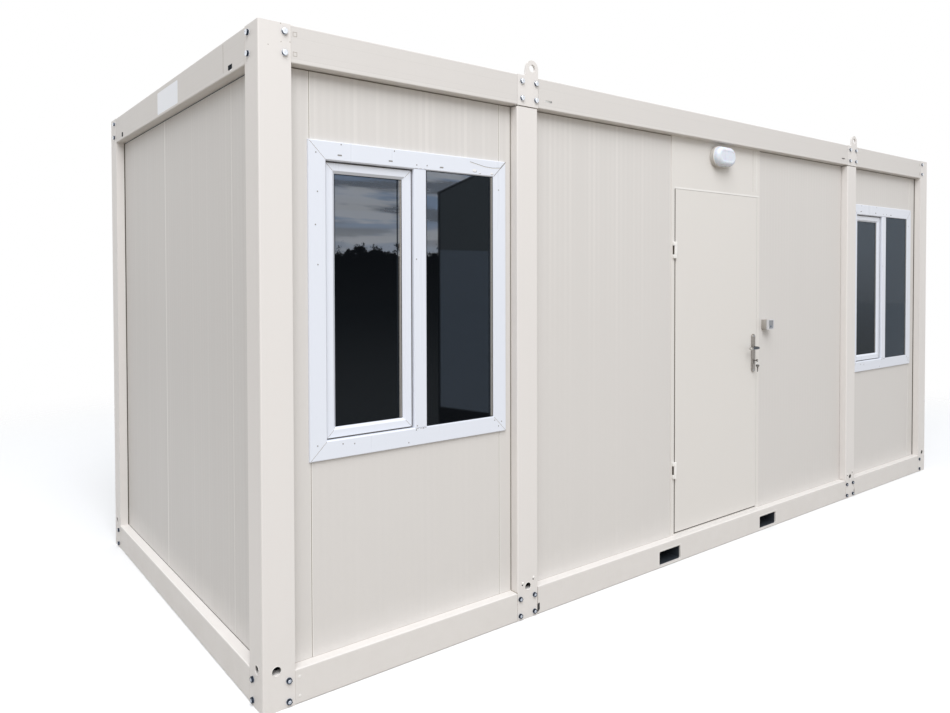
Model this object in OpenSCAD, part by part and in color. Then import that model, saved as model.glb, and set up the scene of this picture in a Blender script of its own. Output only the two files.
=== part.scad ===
// Portable site cabin: cold-formed steel frame, sandwich panel walls set back behind it,
// one outward door and two windows on the front. The front faces -Y and the ground is at Z = 0.

/* [Cabin] */
// Length over the corner posts
cabin_l = 6058; // [5600:1:7200]
// Width over the corner posts
cabin_w = 2438; // [2100:1:3000]
// Height to the top of the top rails
cabin_h = 2700; // [2600:1:3100]

/* [Frame] */
// Face width of the corner posts
corner_w = 135; // [125:1:180]
// Face width of the middle posts
mid_post_w = 135; // [110:1:138]
// Height of the top rails
top_rail_h = 150; // [120:1:200]
// Height of the floor rails
floor_rail_h = 142; // [125:1:180]
// Sheet thickness of posts and rails
steel_t = 4; // [3:0.5:6]
// Inner bend radius of the posts
post_bend = 3; // [1:0.5:8]
// Inner bend radius of the rails
rail_bend = 1.5; // [1:0.5:8]
// Depth of the rails' outer flange, over the gutter and under the floor
rail_flange = 60; // [40:1:90]
// Height of the drip lip under the top rails' flange
drip_h = 25; // [14:1:40]
// Height of the gutter's inner upstand
gutter_h = 60; // [40:1:80]
// Thickness of the plates that close the posts
end_plate_t = 8; // [5:1:14]
// Diameter of the tie-down holes near the feet
tie_hole_d = 38; // [20:1:44]
// Corner of the cabin to the centre of a corner post's tie-down holes
tie_hole_at = 57; // [40:1:80]
// Height of the tie-down holes
tie_hole_z = 160; // [60:1:260]
// Width of the notch in the floor rails beside the middle posts
notch_w = 8; // [5:1:14]
// Height of the notch in the floor rails
notch_h = 41; // [20:1:50]
// Height of the notch over the ground
notch_z = 11; // [8:1:40]

/* [Top rail openings] */
// Length of the cable slots beside the middle posts
slot_w = 50; // [30:1:80]
// Height of the cable slots
slot_h = 11; // [8:1:16]
// Head plate to the near end of a cable slot
slot_at = 46; // [20:1:80]
// Height of the cable slots over the top rail's lower edge
slot_rise = 42; // [20:1:80]
// Corner of the cabin to the openings in the end rails
end_slot_at = 298; // [180:1:500]
// Length of the slot in an end rail
end_slot_w = 32; // [20:1:60]
// Height of the slot in an end rail
end_slot_h = 15; // [10:1:24]
// Diameter of the hole in an end rail
end_hole_d = 16; // [10:1:24]
// Height of the end rails' openings over the rail's lower edge
end_slot_rise = 20; // [18:1:40]

/* [Lifting eyes] */
// Width of the head plates
head_w = 140; // [138:1:160]
// Thickness of the head plates
head_t = 12; // [8:1:20]
// Seam between a head plate and the top rails beside it
head_seam = 1.5; // [1:0.5:3]
// Radius of the eye's rounded top
eye_r = 39.5; // [34:0.5:42]
// Diameter of the eye's hole
eye_hole_d = 38; // [20:1:44]
// Height of the eye's hole over the top rails
eye_rise = 41; // [36:1:70]
// Left edge of the head plate to the eye's centre
eye_at = 99; // [70:1:99]
// How far the eye's left side leans out at its foot
eye_lean = 7; // [0:1:12]
// Radius of the fillet at the eye's foot
eye_fillet = 14; // [8:1:20]
// Gap between a middle post and its head plate
head_gap = 6; // [3:1:10]

/* [Fork pockets] */
// Distance between the centres of the two pockets
fork_pitch = 1048; // [900:1:1300]
// Inner width of a pocket
fork_w = 196; // [150:1:300]
// Inner height of a pocket
fork_h = 80; // [60:1:98]
// Height of the pocket's floor over the ground
fork_z = 16; // [14:1:24]
// Wall thickness of a pocket
fork_t = 6; // [3:0.5:8]
// Inner corner radius of a pocket
fork_r = 8; // [4:1:20]

/* [Walls] */
// Set-back of the wall panels behind the frame's outer faces
set_back = 50; // [30:1:70]
// Thickness of the wall panels
wall_t = 60; // [50:1:80]
// Width of the joint between a panel and the frame
shadow_gap = 5; // [3:1:10]
// Depth of the joint between a panel and the frame
shadow_d = 8; // [4:1:14]
// Width of the joints between panels
joint_w = 4; // [2:1:8]
// Width of the standard wall panels
panel_w = 1000; // [800:1:1200]
// Corner post to the first joint in a window wall
bay_joint_at = 98; // [60:1:200]
// Corner post to the first joint in an end wall
end_joint_at = 295; // [100:1:600]
// Narrowest strip of panel beside a post
strip_w = 60; // [40:1:120]

/* [Floor and roof] */
// Thickness of the floor board
board_t = 18; // [12:1:28]
// Number of floor joists between a fork pocket and the end
joist_n = 4; // [3:1:6]
// Flange width of a joist
joist_w = 50; // [30:1:60]
// Gap between a fork pocket and the joists beside it
joist_gap = 20; // [5:1:40]
// Number of roof beams
beam_n = 11; // [8:1:14]
// Width of a roof beam
beam_w = 50; // [30:1:80]
// Rib height of the roof sheet
rib_h = 35; // [20:1:50]
// Rib pitch of the roof sheet
rib_pitch = 250; // [180:1:333]
// Width of a roof rib at its foot
rib_foot = 70; // [50:1:100]
// Width of a roof rib at its crown
rib_crown = 34; // [20:1:44]
// Flat strip at the roof sheet's ends
roof_edge = 80; // [40:1:140]
// Gap between the roof sheet and the corner posts
roof_gap = 6; // [3:1:12]
// Thickness of the roof sheet
sheet_t = 1.5; // [1:0.5:3]
// Thickness of the ceiling lining
ceiling_t = 16; // [10:1:30]

/* [Windows] */
// Outer width of a window
win_w = 1045; // [900:1:1200]
// Outer height of a window
win_h = 1320; // [900:1:1400]
// Top rails down to the heads of windows and door
head_drop = 280; // [200:1:400]
// Corner post to the window
win_from_corner = 88; // [60:1:160]
// Window to the left middle post
win_to_left_post = 42; // [10:1:160]
// Window to the right middle post
win_to_right_post = 21; // [10:1:160]
// Face width of the window frame
win_bar = 80; // [60:1:90]
// Bevel along the inner edge of the window frame
win_bevel = 5; // [2:1:8]
// Bevel along the outer edges of frame and sash
win_edge = 3; // [1:1:5]
// Set-back of the frame's inner face behind the panel's
win_inset = 2; // [1:1:6]
// How far the frame laps over the panel
win_lap = 20; // [12:1:30]
// How far the frame stands in front of the panel
win_proud = 12; // [6:1:20]
// Width of the mullion
mullion_w = 68; // [50:1:90]
// Window's left edge to the centre of the mullion
mullion_at = 544; // [420:1:600]
// Face width of the opening sash
sash_bar = 46; // [36:1:60]
// Set-back of the sash behind the window frame's face
sash_back = 18; // [10:1:24]
// Gap around the sash
sash_gap = 3; // [2:1:6]
// Width of the lip that the sash closes against
lip_w = 14; // [8:1:20]
// Thickness of that lip
lip_t = 8; // [5:1:12]
// Thickness of the double glazing
pane_t = 24; // [16:1:28]
// Set-back of the glass behind its bars' face
glass_back = 10; // [6:1:20]
// Width of the glazing bead
bead_w = 12; // [8:1:18]
// Set-back of the glazing bead behind the frame's face
bead_back = 7; // [5:1:16]

/* [Door] */
// Centre of the door, to the right of the cabin's middle
door_x = 10; // [-100:1:100]
// Width of the door leaf
leaf_w = 866; // [760:1:1000]
// Thickness of the door leaf
leaf_t = 44; // [36:1:46]
// Height of the leaf's lower edge over the floor rail
leaf_lift = 18; // [14:1:28]
// How far the leaf stands in front of the wall panels
leaf_proud = 8; // [4:1:10]
// How far the door frame stands in front of the wall panels
frame_proud = 4; // [2:1:8]
// Face width of the door frame
jamb_w = 31; // [24:1:50]
// Gap beside and over the leaf
door_gap = 6; // [5:1:10]
// Gap under the leaf
sill_gap = 10; // [5:1:12]
// Fold radius at the leaf's outer edges
leaf_fold = 3; // [1:0.5:5]
// How far the stop laps behind the leaf
stop_lap = 14; // [8:1:30]
// Thickness of the stop
stop_t = 18; // [12:1:18]
// Width of the filler strip right of the panel over the door
filler_w = 48; // [20:1:80]

/* [Hinges] */
// Length of a hinge
hinge_l = 100; // [80:1:140]
// Diameter of the hinge barrel
barrel_d = 18; // [14:1:20]
// Length of the moving middle knuckle
knuckle_l = 52; // [40:1:60]
// Diameter of the hinge pin
pin_d = 9; // [6:1:10]
// Gap around the pin and between the knuckles
hinge_play = 0.6; // [0.3:0.1:1]
// Leaf edge to the hinge axis
hinge_out = 10; // [9:1:20]
// Lap of the moving hinge plate on the leaf
hinge_lap = 12; // [8:1:30]
// Thickness of the moving hinge plate
hinge_plate_t = 4; // [3:0.5:5]
// Gap between the barrel and the door frame
hinge_clear = 2; // [1:0.5:4]
// Width of the fixed lugs
lug_w = 16; // [10:1:24]
// Leaf's lower edge to the lower hinge
hinge_rise = 328; // [150:1:450]
// Leaf's upper edge to the upper hinge
hinge_drop = 317; // [150:1:450]

/* [Lock] */
// Leaf edge to the centre of the lock
backset = 42; // [34:1:70]
// Leaf's lower edge to the lever's axis
lever_rise = 1072; // [950:1:1150]
// Lever's axis to the centre of the key cylinder
lock_pitch = 85; // [60:1:100]
// Length of the back plates
plate_l = 255; // [240:1:300]
// Width of the back plates
plate_w = 42; // [36:1:50]
// Thickness of the back plates
plate_t = 8; // [5:1:12]
// Top of the plate over the lever's axis
plate_over = 90; // [70:1:110]
// Diameter of the lever's grip and neck
lever_d = 19; // [14:1:22]
// Length of the lever from its axis
lever_l = 100; // [90:1:150]
// Reach of the lever's centre line in front of the plate
lever_reach = 42; // [38:1:60]
// Bend radius of the lever's centre line
lever_bend = 18; // [14:1:24]
// Width of the square spindle
spindle_w = 9; // [7:1:10]
// Diameter of the lock cylinder's plug
plug_d = 17; // [15:1:20]
// Height of the lock cylinder
cylinder_h = 33; // [28:1:36]
// Web width of the lock cylinder
cylinder_w = 10; // [8:1:12]
// How far the lock cylinder stands out of the back plates
cylinder_proud = 5; // [2:1:8]

/* [Lamp and switch] */
// Lamp centre, to the right of the door's centre
lamp_at = 12; // [-60:1:60]
// Top rail down to the lamp's centre
lamp_drop = 88; // [80:1:130]
// Width of the lamp
lamp_w = 211; // [180:1:260]
// Height of the lamp
lamp_h = 134; // [100:1:140]
// Depth of the lamp's base
lamp_base_t = 26; // [16:1:40]
// Depth of the diffuser in front of the base
lamp_dome_t = 38; // [30:1:70]
// Rounding of the diffuser
lamp_round = 26; // [12:1:30]
// Rim of the base around the diffuser
lamp_rim = 6; // [3:1:12]
// Rounding of the base's front edge
lamp_edge = 4; // [2:1:8]
// Width of the groove around the lamp's base
lamp_groove = 3; // [2:0.5:5]
// Door frame to the switch box
switch_at = 35; // [20:1:120]
// Floor rail to the centre of the switch box
switch_rise = 1239; // [900:1:1400]
// Width and height of the switch box
switch_w = 66; // [50:1:90]
// Depth of the switch box
switch_t = 54; // [40:1:70]
// Thickness of the switch box's cover
cover_t = 15; // [10:1:24]
// Width and depth of the groove behind the cover
cover_groove = 2; // [1:0.5:3]
// Rim of the cover around the rocker
rocker_rim = 6; // [4:1:10]
// Depth of the recess around the rocker
rocker_recess = 5; // [3:1:8]
// Gap around the rocker
rocker_gap = 1.5; // [1:0.5:3]

/* [Hidden] */
$fn = 48;
eps = 1;                                  // overshoot of cuts

wall_in = set_back + wall_t;              // depth of the walls' inner faces
wall_z0 = floor_rail_h;                   // walls stand on the floor rails
wall_z1 = cabin_h - top_rail_h;           // and reach to the top rails
win_at = corner_w + win_from_corner + win_w / 2;      // ends of the cabin to a window's centre
head_z = wall_z1 - head_drop;             // heads of windows and door
win_z = head_z - win_h;
mid_xs = [win_at + win_w / 2 + win_to_left_post,      // left edges of the middle posts
    cabin_l - win_at - win_w / 2 - win_to_right_post - mid_post_w];
door_mid = cabin_l / 2 + door_x;
leaf_x = door_mid - leaf_w / 2;
leaf_z = floor_rail_h + leaf_lift;
leaf_h = head_z - jamb_w - door_gap - leaf_z;
leaf_y = set_back - leaf_proud;
leaf_back = leaf_y + leaf_t;
opening_x0 = leaf_x - door_gap;           // clear opening of the door frame
opening_x1 = leaf_x + leaf_w + door_gap;
opening_z1 = head_z - jamb_w;
sill_z = leaf_z - sill_gap;
door_x0 = opening_x0 - jamb_w;
door_x1 = opening_x1 + jamb_w;
jamb_y = set_back - frame_proud;
stop_y = wall_in - stop_t;
joist_top = floor_rail_h - steel_t;
hinge_x = leaf_x - hinge_out;
hinge_y = jamb_y - barrel_d / 2 - hinge_clear;
hinge_zs = [leaf_z + hinge_rise, leaf_z + leaf_h - hinge_drop - hinge_l];
end_knuckle = (hinge_l - knuckle_l) / 2;
lock_x = leaf_x + leaf_w - backset;
lever_z = leaf_z + lever_rise;
cylinder_z = lever_z - lock_pitch;
plate_y = leaf_y - plate_t;               // outer face of the outside plate
win_y = set_back - win_proud;             // outer face of the window frame
win_in = wall_in - win_inset;
light_h = win_h - 2 * win_bar;            // clear height inside the window frame
left_w = mullion_at - mullion_w / 2 - win_bar;
right_w = win_w - win_bar - mullion_at - mullion_w / 2;
left_mid = win_bar + left_w / 2 - win_w / 2;
right_mid = win_w / 2 - win_bar - right_w / 2;
sash_y = win_y + sash_back;
sash_pane_y = sash_y + glass_back;
fixed_pane_y = win_y + bead_back + bead_w;
steel = "#dedad4";
panel = "#d8d4ce";
upvc = "#e8ebf3";
nickel = "#9c968c";

// ---- places ----

// x along the front from its left end, y inwards from the frame's face
module at_front() {
    translate([-cabin_l / 2, -cabin_w / 2, 0]) children();
}

module at_back() {
    mirror([0, 1, 0]) at_front() children();
}

module at_right() {
    mirror([1, 0, 0]) at_front() children();
}

// a section of depth and height, run along the front from x0 to x1
module run_x(x0, x1) {
    translate([x0, 0, 0]) rotate([90, 0, 90]) linear_extrude(x1 - x0) children();
}

// a section of depth and height, run along an end from y0 to y1
module run_y(y0, y1) {
    translate([0, y1, 0]) rotate([90, 0, 0]) linear_extrude(y1 - y0) children();
}

// an outline of width and height, run inwards from depth y0 to y1
module run_in(y0, y1) {
    translate([0, y1, 0]) rotate([90, 0, 0]) linear_extrude(y1 - y0) children();
}

// ---- sections ----

// sheet of thickness t folded along square corners, with centre-line bend radius r
module folded(path, t, r) {
    last = len(path) - 1;
    for (i = [0 : last - 1]) {
        a = path[i];
        b = path[i + 1];
        run = norm(b - a);
        d = (b - a) / run;
        a_cut = i == 0 ? 0 : r;
        b_cut = i == last - 1 ? 0 : r;
        p = a + d * a_cut;
        q = b - d * b_cut;
        side = [abs(d[1]), abs(d[0])] * t / 2;
        lo = [min(p[0], q[0]), min(p[1], q[1])] - side;
        hi = [max(p[0], q[0]), max(p[1], q[1])] + side;
        translate(lo) square(hi - lo);
        if (i > 0) {
            before = (a - path[i - 1]) / norm(a - path[i - 1]);
            c = a - before * r + d * r;
            s = before - d;
            reach = r + t;
            translate(c) intersection() {
                difference() {
                    circle(r + t / 2);
                    circle(r - t / 2);
                }
                translate([min(0, s[0] * reach), min(0, s[1] * reach)]) square(reach);
            }
        }
    }
}

// takes the sharp corner off the origin's quadrant with radius r
module corner_off(r) {
    difference() {
        translate([-eps, -eps]) square(r + eps);
        translate([r, r]) circle(r);
    }
}

// five-sided corner post: two outer faces, two returns beside the walls, a chamfer to the room
module corner_outline(t) {
    c = t * (sqrt(2) - 1);
    difference() {
        polygon([[t, t], [corner_w - t, t], [corner_w - t, wall_in - c],
            [wall_in - c, corner_w - t], [t, corner_w - t]]);
        translate([t, t]) corner_off(post_bend + steel_t - t);
    }
}

module corner_section() {
    difference() {
        corner_outline(0);
        corner_outline(steel_t);
    }
}

module mid_outline(t) {
    difference() {
        translate([t, t]) square([mid_post_w - 2 * t, wall_in - 2 * t]);
        translate([t, t]) corner_off(post_bend + steel_t - t);
        translate([mid_post_w - t, t]) mirror([1, 0]) corner_off(post_bend + steel_t - t);
    }
}

// gutter beam: inner upstand, sole, outer web, top flange and drip lip
module top_rail_section() {
    h = steel_t / 2;
    translate([0, wall_z1]) folded([[wall_in - h, gutter_h], [wall_in - h, h], [h, h],
        [h, top_rail_h - h], [rail_flange - h, top_rail_h - h], [rail_flange - h, top_rail_h - drip_h]],
        steel_t, rail_bend + h);
}

// floor rail: bottom flange, outer web, and the ledge that carries the walls
module floor_rail_section() {
    h = steel_t / 2;
    folded([[rail_flange, h], [h, h], [h, floor_rail_h - h], [wall_in, floor_rail_h - h]],
        steel_t, rail_bend + h);
}

// ---- frame ----

module corner_post() {
    color(steel) difference() {
        union() {
            linear_extrude(cabin_h) corner_section();
            for (z = [0, cabin_h - end_plate_t])
                translate([0, 0, z]) linear_extrude(end_plate_t) corner_outline(steel_t / 2);
        }
        translate([tie_hole_at, -eps, tie_hole_z]) rotate([-90, 0, 0])
            cylinder(d = tie_hole_d, h = steel_t + 2 * eps);
        translate([-eps, tie_hole_at, tie_hole_z]) rotate([0, 90, 0])
            cylinder(d = tie_hole_d, h = steel_t + 2 * eps);
    }
}

module mid_posts() {
    top = wall_z1 - head_gap;
    color(steel) for (x = mid_xs) translate([x, 0, 0]) difference() {
        union() {
            linear_extrude(top) difference() {
                mid_outline(0);
                mid_outline(steel_t);
            }
            for (z = [0, top - end_plate_t])
                translate([0, 0, z]) linear_extrude(end_plate_t) mid_outline(steel_t / 2);
        }
        translate([mid_post_w / 2, -eps, tie_hole_z]) rotate([-90, 0, 0])
            cylinder(d = tie_hole_d, h = steel_t + 2 * eps);
    }
}

// point where a line from p touches the circle about c, on the given side
function touch(p, c, r, side) =
    let (d = norm(p - c), a = atan2(p[1] - c[1], p[0] - c[0]) + side * acos(r / d))
    c + r * [cos(a), sin(a)];

// head plate between the top rails with the eye rising from its upper edge, flush at its right
module eye_outline() {
    c = [eye_at, eye_rise];
    left = [eye_at - eye_r - eye_lean, 0];
    right = [head_w - head_seam, 0];
    left_touch = touch(left, c, eye_r, -1);
    right_touch = touch(right, c, eye_r, 1);
    up = (left_touch - left) / norm(left_touch - left);
    fillet_c = [left[0] - eye_fillet * (1 - up[0]) / up[1], eye_fillet];
    translate([head_seam, wall_z1]) square([head_w - 2 * head_seam, top_rail_h]);
    translate([0, cabin_h]) difference() {
        union() {
            circle_at(c, eye_r);
            polygon([left - [0, eps], right - [0, eps], right, right_touch, c, left_touch, left]);
            difference() {
                polygon([[fillet_c[0], -eps], left - [0, eps], left, left + up * ((fillet_c - left) * up),
                    fillet_c]);
                circle_at(fillet_c, eye_fillet);
            }
        }
        circle_at(c, eye_hole_d / 2);
    }
}

module circle_at(c, r) {
    translate(c) circle(r);
}

module lifting_eyes() {
    back_web = wall_in - steel_t;
    color(steel) for (s = [0, 1]) mirror([0, s, 0]) at_front() for (x = mid_xs) translate([x, 0, 0]) {
        run_in(0, head_t) eye_outline();
        // box behind the plate that the top rails bolt to
        translate([0, head_t - eps, wall_z1])
            cube([head_w, back_web - head_t + eps, steel_t]);
        translate([0, back_web, wall_z1]) cube([head_w, steel_t, gutter_h]);
        for (u = [0, head_w - steel_t])
            translate([u, head_t - eps, wall_z1])
                cube([steel_t, back_web - head_t + 2 * eps, gutter_h]);
    }
}

// slot with round ends, centred, length w and height h
module slot_outline(w, h) {
    for (s = [-1, 1]) translate([s * (w - h) / 2, 0]) circle(d = h);
    square([w - h, h], center = true);
}

module top_rail_long() {
    x0 = mid_xs[0] + head_w;
    x1 = mid_xs[1];
    color(steel) {
        run_x(corner_w, mid_xs[0]) top_rail_section();
        difference() {
            run_x(x0, x1) top_rail_section();
            for (x = [x0 + slot_at + slot_w / 2, x1 - slot_at - slot_w / 2])
                translate([x, 0, wall_z1 + slot_rise]) run_in(-eps, steel_t + eps)
                    slot_outline(slot_w, slot_h);
        }
        run_x(x1 + head_w, cabin_l - corner_w) top_rail_section();
    }
}

module top_rail_end() {
    color(steel) difference() {
        run_y(corner_w, cabin_w - corner_w) top_rail_section();
        translate([-eps, end_slot_at - end_slot_w / 2, wall_z1 + end_slot_rise - end_slot_h / 2])
            cube([steel_t + 2 * eps, end_slot_w, end_slot_h]);
        translate([-eps, cabin_w - end_slot_at, wall_z1 + end_slot_rise]) rotate([0, 90, 0])
            cylinder(d = end_hole_d, h = steel_t + 2 * eps);
    }
}

// a pocket's clear section, or its outside when grown by its wall
module fork_outline(grow) {
    w = fork_w + 2 * grow;
    h = fork_h + 2 * grow;
    r = fork_r + grow;
    translate([0, fork_z + fork_h / 2]) {
        square([w - 2 * r, h], center = true);
        square([w, h - 2 * r], center = true);
        for (x = [r - w / 2, w / 2 - r], z = [r - h / 2, h / 2 - r]) translate([x, z]) circle(r);
    }
}

module floor_rail_long() {
    color(steel) difference() {
        union() {
            run_x(corner_w, mid_xs[0]) floor_rail_section();
            run_x(mid_xs[0] + mid_post_w, mid_xs[1]) floor_rail_section();
            run_x(mid_xs[1] + mid_post_w, cabin_l - corner_w) floor_rail_section();
        }
        for (s = [-1, 1])
            translate([cabin_l / 2 + s * fork_pitch / 2, 0, 0])
                run_in(-eps, steel_t + eps) fork_outline(fork_t);
        for (x = mid_xs)
            translate([x + mid_post_w - eps, -eps, notch_z])
                cube([notch_w + eps, steel_t + 2 * eps, notch_h]);
    }
}

module floor_rail_end() {
    color(steel) run_y(corner_w, cabin_w - corner_w) floor_rail_section();
}

module fork_pockets() {
    color("#3c444c") at_front() for (s = [-1, 1])
        translate([cabin_l / 2 + s * fork_pitch / 2, 0, 0]) run_in(0, cabin_w) difference() {
            fork_outline(fork_t);
            fork_outline(0);
        }
}

// ---- floor and roof ----

// channel joists: one at the origin, one each side of a fork pocket, the rest out to the ends
module floor_joists() {
    beside = fork_w / 2 + fork_t + joist_gap + joist_w / 2;
    inner = fork_pitch / 2 - beside;
    outer = fork_pitch / 2 + beside;
    pitch = (cabin_l / 2 - rail_flange - outer) / joist_n;
    side = concat([inner], [for (i = [0 : joist_n - 1]) outer + i * pitch]);
    h = steel_t / 2;
    color("#8b8d8e") for (x = concat([0], side, -side))
        translate([x, cabin_w / 2 - rail_flange, 0])
            rotate([90, 0, 0]) linear_extrude(cabin_w - 2 * rail_flange)
                folded([[joist_w / 2, h], [h - joist_w / 2, h], [h - joist_w / 2, joist_top - h],
                    [joist_w / 2, joist_top - h]], steel_t, rail_bend + h);
}

module floor_board() {
    color("#9b8c76") at_front() translate([0, 0, joist_top]) linear_extrude(board_t) room_outline();
}

// the room's plan, inside the walls and the chamfered corner posts
module room_outline() {
    a = wall_in;
    b = corner_w;
    l = cabin_l;
    w = cabin_w;
    polygon([[b, a], [l - b, a], [l - a, b], [l - a, w - b], [l - b, w - a], [b, w - a],
        [a, w - b], [a, b]]);
}

module ceiling_lining() {
    color("#e6e4df") at_front() translate([0, 0, wall_z1 - ceiling_t])
        linear_extrude(ceiling_t) room_outline();
}

module roof_beams() {
    span = cabin_l - 2 * wall_in;
    h = steel_t / 2;
    color("#8b8d8e") at_front() for (i = [0 : beam_n - 1])
        translate([wall_in + span * (i + 0.5) / beam_n, cabin_w - wall_in, wall_z1])
            rotate([90, 0, 0]) linear_extrude(cabin_w - 2 * wall_in)
                folded([[beam_w / 2, h], [h - beam_w / 2, h], [h - beam_w / 2, gutter_h - h],
                    [beam_w / 2, gutter_h - h]], steel_t, rail_bend + h);
}

// trapezoidal sheet from gutter to gutter, its pans resting on the gutters' upstands
module roof_sheet() {
    lap = (wall_in - steel_t + rail_flange) / 2;
    sheet_l = cabin_l - 2 * lap;
    notch = corner_w + roof_gap - lap;
    n = floor((sheet_l - 2 * roof_edge) / rib_pitch);
    start = (sheet_l - n * rib_pitch) / 2;
    rib = [[-rib_foot / 2, 0], [-rib_crown / 2, rib_h], [rib_crown / 2, rib_h], [rib_foot / 2, 0]];
    line = concat([[0, 0]],
        [for (i = [0 : n - 1], p = rib) [start + (i + 0.5) * rib_pitch + p[0], p[1]]],
        [[sheet_l, 0]]);
    back = [for (i = [len(line) - 1 : -1 : 0]) line[i] + [0, sheet_t]];
    color("#cfcdc8") at_front() translate([lap, 0, wall_z1 + gutter_h]) difference() {
        translate([0, cabin_w - lap, 0]) rotate([90, 0, 0])
            linear_extrude(cabin_w - 2 * lap) polygon(concat(line, back));
        for (x = [-eps, sheet_l - notch], y = [lap - eps, cabin_w - lap - notch])
            translate([x, y, -eps]) cube([notch + eps, notch + eps, rib_h + sheet_t + 2 * eps]);
    }
}

// ---- walls ----

// panel from x0 to x1 with a dark joint at each end and along its head, and joints between sheets
module wall(x0, x1, joints, left_gap = true, right_gap = true, face = set_back) {
    color(panel) difference() {
        translate([x0, face, wall_z0]) cube([x1 - x0, wall_in - face, wall_z1 - wall_z0]);
        if (left_gap)
            translate([x0 - eps, face - eps, wall_z0 - eps])
                cube([shadow_gap + eps, shadow_d + eps, wall_z1 - wall_z0 + 2 * eps]);
        if (right_gap)
            translate([x1 - shadow_gap, face - eps, wall_z0 - eps])
                cube([shadow_gap + eps, shadow_d + eps, wall_z1 - wall_z0 + 2 * eps]);
        translate([x0 - eps, face - eps, wall_z1 - shadow_gap])
            cube([x1 - x0 + 2 * eps, shadow_d + eps, shadow_gap + eps]);
        for (j = joints) translate([j, face, wall_z0 - eps])
            linear_extrude(wall_z1 - wall_z0 + 2 * eps) joint_outline();
    }
}

// V-joint in a face at y = 0
module joint_outline() {
    polygon([[-joint_w / 2, -eps], [joint_w / 2, -eps], [joint_w / 2, 0], [0, joint_w],
        [-joint_w / 2, 0]]);
}

// wall from the corner post, as wide as w, with a window in it
module window_wall(w) {
    first = corner_w + bay_joint_at;
    difference() {
        wall(corner_w, corner_w + w, [for (x = [first : panel_w : corner_w + w - strip_w]) x]);
        translate([win_at - win_w / 2 + win_lap, set_back - eps, win_z + win_lap])
            cube([win_w - 2 * win_lap, wall_t + 2 * eps, win_h - 2 * win_lap]);
    }
}

module front_wall_left() {
    at_front() window_wall(mid_xs[0] - corner_w);
}

module front_wall_right() {
    at_right() window_wall(cabin_l - corner_w - mid_xs[1] - mid_post_w);
}

module front_wall_beside_door_left() {
    x0 = mid_xs[0] + mid_post_w;
    at_front() wall(x0, door_x0, [], true, false);
}

module front_wall_beside_door_right() {
    at_front() wall(door_x1, mid_xs[1], [], false, true);
}

module front_wall_over_door() {
    z0 = opening_z1 + jamb_w;
    at_front() color(panel) difference() {
        translate([opening_x0, jamb_y, z0])
            cube([opening_x1 - opening_x0, wall_in - jamb_y, wall_z1 - z0]);
        translate([opening_x1 - filler_w, jamb_y, z0 - eps])
            linear_extrude(wall_z1 - z0 + 2 * eps) joint_outline();
    }
}

module end_wall() {
    first = corner_w + end_joint_at;
    last = cabin_w - corner_w - strip_w;
    rotate([0, 0, 90]) mirror([0, 1, 0])
        wall(corner_w, cabin_w - corner_w, [for (y = [first : panel_w : last]) y]);
}

module end_wall_left() {
    at_front() end_wall();
}

module end_wall_right() {
    at_right() end_wall();
}

module back_wall_left() {
    at_back() wall(corner_w, mid_xs[0], []);
}

module back_wall_middle() {
    x0 = mid_xs[0] + mid_post_w;
    at_back() wall(x0, mid_xs[1], [for (x = [x0 + panel_w : panel_w : mid_xs[1] - strip_w]) x]);
}

module back_wall_right() {
    at_back() wall(mid_xs[1] + mid_post_w, cabin_l - corner_w, []);
}

// ---- windows ----

// four mitred bars around w by h, centred; the section is drawn in depth and distance inwards
module mitred_ring(w, h, bar) {
    for (k = [0 : 3]) {
        run = k % 2 == 0 ? w : h;
        across = k % 2 == 0 ? h : w;
        rotate([0, 90 * k, 0]) intersection() {
            translate([-run / 2, 0, -across / 2]) rotate([90, 0, 90]) linear_extrude(run) children();
            run_in(0, cabin_w / 4) polygon([[-run / 2, -across / 2], [run / 2, -across / 2],
                [run / 2 - bar, bar - across / 2], [bar - run / 2, bar - across / 2]]);
        }
    }
}

module window_frame() {
    mitred_ring(win_w, win_h, win_bar)
        polygon([[win_y, win_edge], [win_y, win_bar - win_bevel], [win_y + win_bevel, win_bar],
            [win_in, win_bar], [win_in, win_lap], [set_back, win_lap], [set_back, 0],
            [win_y + win_edge, 0]]);
    half = mullion_w / 2;
    translate([mullion_at - win_w / 2, 0, -light_h / 2 - eps]) linear_extrude(light_h + 2 * eps)
        polygon([[win_bevel - half, win_y], [half - win_bevel, win_y], [half, win_y + win_bevel],
            [half, win_in], [-half, win_in], [-half, win_y + win_bevel]]);
    // lip that the closed sash rests against
    translate([left_mid, 0, 0]) mitred_ring(left_w, light_h, lip_w) translate([win_in - lip_t, 0])
        square([lip_t, lip_w]);
    // bead that holds the fixed pane
    bead_y = win_y + bead_back;
    translate([right_mid, 0, 0]) mitred_ring(right_w, light_h, bead_w)
        polygon([[bead_y, 0], [bead_y, win_edge], [fixed_pane_y, bead_w], [fixed_pane_y, 0]]);
}

module at_windows() {
    at_front() for (x = [win_at, cabin_l - win_at])
        translate([x, 0, win_z + win_h / 2]) children();
}

module window_frames() {
    color(upvc) at_windows() window_frame();
}

module window_sashes() {
    color(upvc) at_windows() translate([left_mid, 0, 0])
        mitred_ring(left_w - 2 * sash_gap, light_h - 2 * sash_gap, sash_bar)
            polygon([[sash_y, win_edge], [sash_y, sash_bar - bead_w], [sash_pane_y, sash_bar],
                [win_in - lip_t, sash_bar], [win_in - lip_t, 0], [sash_y + win_edge, 0]]);
}

module window_panes() {
    sw = left_w - 2 * sash_gap - 2 * sash_bar;
    sh = light_h - 2 * sash_gap - 2 * sash_bar;
    color("#1c2228") at_windows() {
        translate([left_mid - sw / 2, sash_pane_y, -sh / 2]) cube([sw, pane_t, sh]);
        translate([right_mid - right_w / 2, fixed_pane_y, -light_h / 2])
            cube([right_w, pane_t, light_h]);
    }
}

// ---- door ----

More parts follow.
